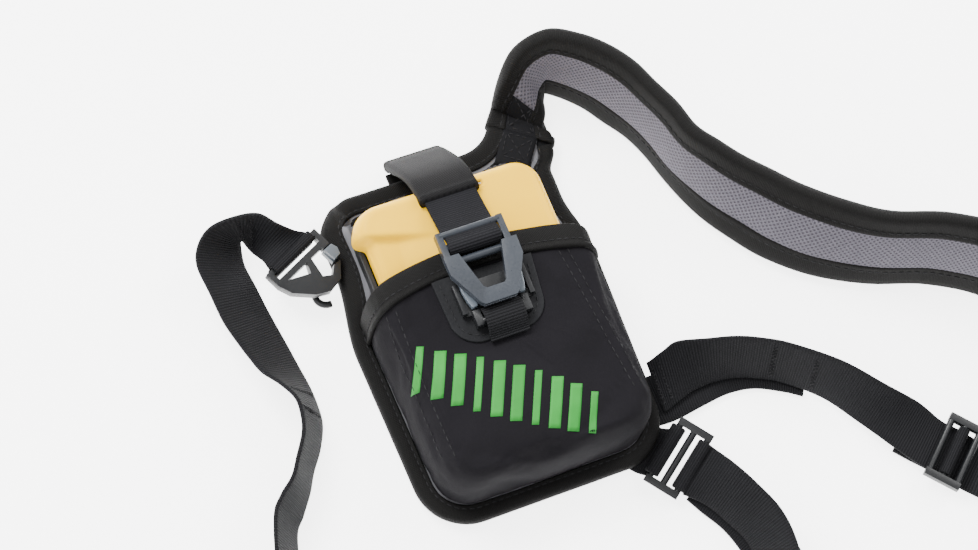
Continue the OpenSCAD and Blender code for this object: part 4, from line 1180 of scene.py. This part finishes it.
def rear_shell():
    """The yellow shell: a wedge-shaped head over a sunken grip, softened edges, a slot."""
    cx, cy = -1.5, -4.0
    xs = np.unique(np.concatenate([np.linspace(-36, -29, 15), np.linspace(-29, 29, 98),
                                   np.linspace(29, 36, 15)]))
    ys = np.unique(np.concatenate([np.linspace(-54, -47, 15), np.linspace(-47, 47, 158),
                                   np.linspace(47, 54, 15)]))

    def ridge(x):
        return 40.2 - 0.30 * (x + 37.5) + 0.0012 * (x + 27) ** 2

    def sink(x, y):
        """Depth of the grip below the head's ridge."""
        below = ridge(x) - y
        step = 1 / (1 + math.exp(-(below - 1.9) * 2.3))
        bend = -25.6 + 0.10 * (y - 25)
        fade = 1.0 if x < bend else max(0.0, 1.0 - ((x - bend) / 15.0))
        toe = min(1.0, max(0.0, (y - 6.0) / 7.0))
        tilt = 1.0 + 0.035 * min(20.0, max(0.0, below))
        return 3.0 * step * fade * toe * tilt

    verts = []
    index = {}
    inner = []
    for j, y in enumerate(ys):
        for i, x in enumerate(xs):
            a, b = abs(x) - 26, abs(y) - 44
            px, py = x, y
            if a > 0 and b > 0:
                m = max(a, b)
                h = math.hypot(a, b)
                px = math.copysign(26 + a * m / h, x)
                py = math.copysign(44 + b * m / h, y)
                d = 10 - m
            else:
                d = min(36 - abs(x), 54 - abs(y))
            X, Y = cx + px, cy + py
            if d < 4.6:
                s = min(1.0, d / 4.5)
                z = 26.9 + 6.1 * (1 - (1 - s) ** 2.1) ** 0.72
            else:
                z = 33.0
            z -= sink(X, Y)
            z = max(z, 25.0)
            # the grip also narrows the case below the head
            below = ridge(X) - Y
            toe = min(1.0, max(0.0, (Y - 4.0) / 8.0))
            pinch = 2.2 * toe / (1 + math.exp(-(below - 2.2) * 1.8))
            near = max(0.0, 1.0 - (X + 37.5) / 9.0)
            X += pinch * near
            X -= 1.5 * near * ease((3.0 - below) / 3.0) * ease((Y - 24) / 8)
            z -= 0.55 * math.exp(-((X - 30.6) / 0.5) ** 2) * (1.0 if Y > 6 else 0.0) * 0.5
            sx, sy = X - 7.5, Y - 44.4
            rim = max(abs(sx) - 4.5, abs(sy) - 1.0)
            if rim < 0:
                z -= min(2.6, -rim * 6.0)
            elif rim < 0.9:
                z += 0.28 * math.sin(rim / 0.9 * math.pi)
            verts.append((X, Y, z))
            index[(i, j)] = len(verts) - 1
            inner.append((x, y))
    cols, rows = len(xs), len(ys)

    def open_here(x, y):
        return abs(x + 0.0) < 24.9 and -49.3 < y < 0.9

    faces = []
    for j in range(rows - 1):
        for i in range(cols - 1):
            mx, my = (xs[i] + xs[i + 1]) / 2, (ys[j] + ys[j + 1]) / 2
            if open_here(mx, my):
                continue
            faces.append((index[(i, j)], index[(i + 1, j)], index[(i + 1, j + 1)],
                          index[(i, j + 1)]))
    rim = [(i, 0) for i in range(cols)] + [(cols - 1, j) for j in range(1, rows)]
    rim += [(i, rows - 1) for i in range(cols - 2, -1, -1)] + [(0, j) for j in range(rows - 2, 0, -1)]
    prev = [index[q] for q in rim]
    n = len(rim)
    for z in (24.5, 21.5, 19.7, 19.42):
        ring = []
        for q in prev:
            x, y, zz = verts[q]
            s = 1.0 if z > 19.5 else 0.996
            verts.append(((x - cx) * s + cx, (y - cy) * s + cy, z))
            ring.append(len(verts) - 1)
        for k in range(n):
            faces.append((prev[k], prev[(k + 1) % n], ring[(k + 1) % n], ring[k]))
        prev = ring
    mesh_obj = piece("yellow_shell", verts, faces, M["yellow"], "transceiver", None,
                     ["rear_shell"])
    solid = mesh_obj.modifiers.new("wall", "SOLIDIFY")
    solid.thickness = 1.4 * MM
    solid.offset = -1
    return mesh_obj


def transceiver():
    rear_shell()
    soften("front_shell", M["case"], 0.3, 2, angle=40)
    soften("battery_door", M["case"], 0.35, 2)
    soften("display_window", M["window"], 0.25, 2)
    soften("key_left", M["key"], 0.5, 3)
    soften("key_right", M["key"], 0.5, 3)
    soften("mode_switch", M["key"], 0.3, 2)
    soften("switch_lock", M["key"], 0.3, 2)
    soften("door_screw", M["steel"], 0.12, 1)
    for node, look in (("shell_seal", "seal"), ("lcd_module", "lcd"), ("batteries", "cell"),
                       ("battery_contacts", "contact"), ("main_board", "board"),
                       ("antenna_long", "ferrite"), ("antenna_cross", "ferrite"),
                       ("antenna_vertical", "ferrite"), ("speaker", "dark"),
                       ("light_pipe", "clear"), ("case_screws", "steel"),
                       ("lanyard_pin", "steel"), ("closure_root", "binding")):
        data = NODE[node].data
        data.materials.clear()
        data.materials.append(M[look])


# ---------------------------------------------------------------- camera, light, floor

VIEW_BACK = Vector((-0.23, -0.28, 0.932)).normalized()
VIEW_UP = Vector((0.3136, 0.8853, 0.3434)).normalized()
AIM = mm(6.8, 17.1, 10)


def make_camera():
    data = bpy.data.cameras.new("photo_camera")
    data.sensor_width = 36.0
    data.lens = 89.4
    data.clip_start, data.clip_end = 0.01, 20.0
    cam = bpy.data.objects.new("photo_camera", data)
    bpy.context.scene.collection.objects.link(cam)
    cam.location = VIEW_BACK * 0.9
    back = (cam.location - AIM).normalized()
    right = VIEW_UP.cross(back).normalized()
    up = back.cross(right)
    cam.rotation_mode = "QUATERNION"
    cam.rotation_quaternion = Matrix((right, up, back)).transposed().to_quaternion()
    bpy.context.scene.camera = cam


def area_light(name, place, aim, size, power, tint=(1, 1, 1)):
    data = bpy.data.lights.new(name, "AREA")
    data.shape = "RECTANGLE"
    data.size, data.size_y = size
    data.energy = power
    data.color = tint
    light = bpy.data.objects.new(name, data)
    light.location = place
    light.rotation_mode = "QUATERNION"
    light.rotation_quaternion = (Vector(place) - Vector(aim)).to_track_quat("Z", "Y")
    bpy.context.scene.collection.objects.link(light)
    return light


def make_studio():
    area_light("key", (-0.35, 0.75, 1.0), (0, 0, 0), (0.7, 0.5), 30)
    area_light("fill", (-0.9, -0.5, 0.9), (0, 0, 0), (0.9, 0.9), 10)
    area_light("rim", (0.9, 0.3, 0.55), (0.05, 0, 0), (0.5, 0.9), 14)
    world = bpy.data.worlds.new("studio")
    bpy.context.scene.world = world
    world.use_nodes = True
    back = world.node_tree.nodes["Background"]
    back.inputs["Color"].default_value = (1.0, 1.0, 1.0, 1.0)
    back.inputs["Strength"].default_value = 1.0
    mesh = bpy.data.meshes.new("studio_floor")
    s = 6.0
    z = -0.0006
    mesh.from_pydata([(-s, -s, z), (s, -s, z), (s, s, z), (-s, s, z)], [], [(0, 1, 2, 3)])
    floor = bpy.data.objects.new("studio_floor", mesh)
    bpy.context.scene.collection.objects.link(floor)
    mat = bpy.data.materials.new("pale_floor")
    mat.use_nodes = True
    shader = mat.node_tree.nodes["Principled BSDF"]
    shader.inputs["Base Color"].default_value = (0.96, 0.96, 0.96, 1)
    shader.inputs["Roughness"].default_value = 0.9
    shader.inputs["Emission Color"].default_value = (1, 1, 1, 1)
    shader.inputs["Emission Strength"].default_value = 4.0
    mesh.materials.append(mat)


panel()
panel_binding()
stitches("panel_edge_stitches", [(edge_line(4.85, 5.6), (0, 0, 1))], M["thread"], length=2.0,
         gap=0.8, r=0.25)
SKIN = pocket()
TREE = surface_tree(SKIN)
pocket_details(TREE)
hem()
closure()
buckle()
shoulder_strap()
neck_flat()
webbing_straps()
hardware()
transceiver()
make_camera()
make_studio()
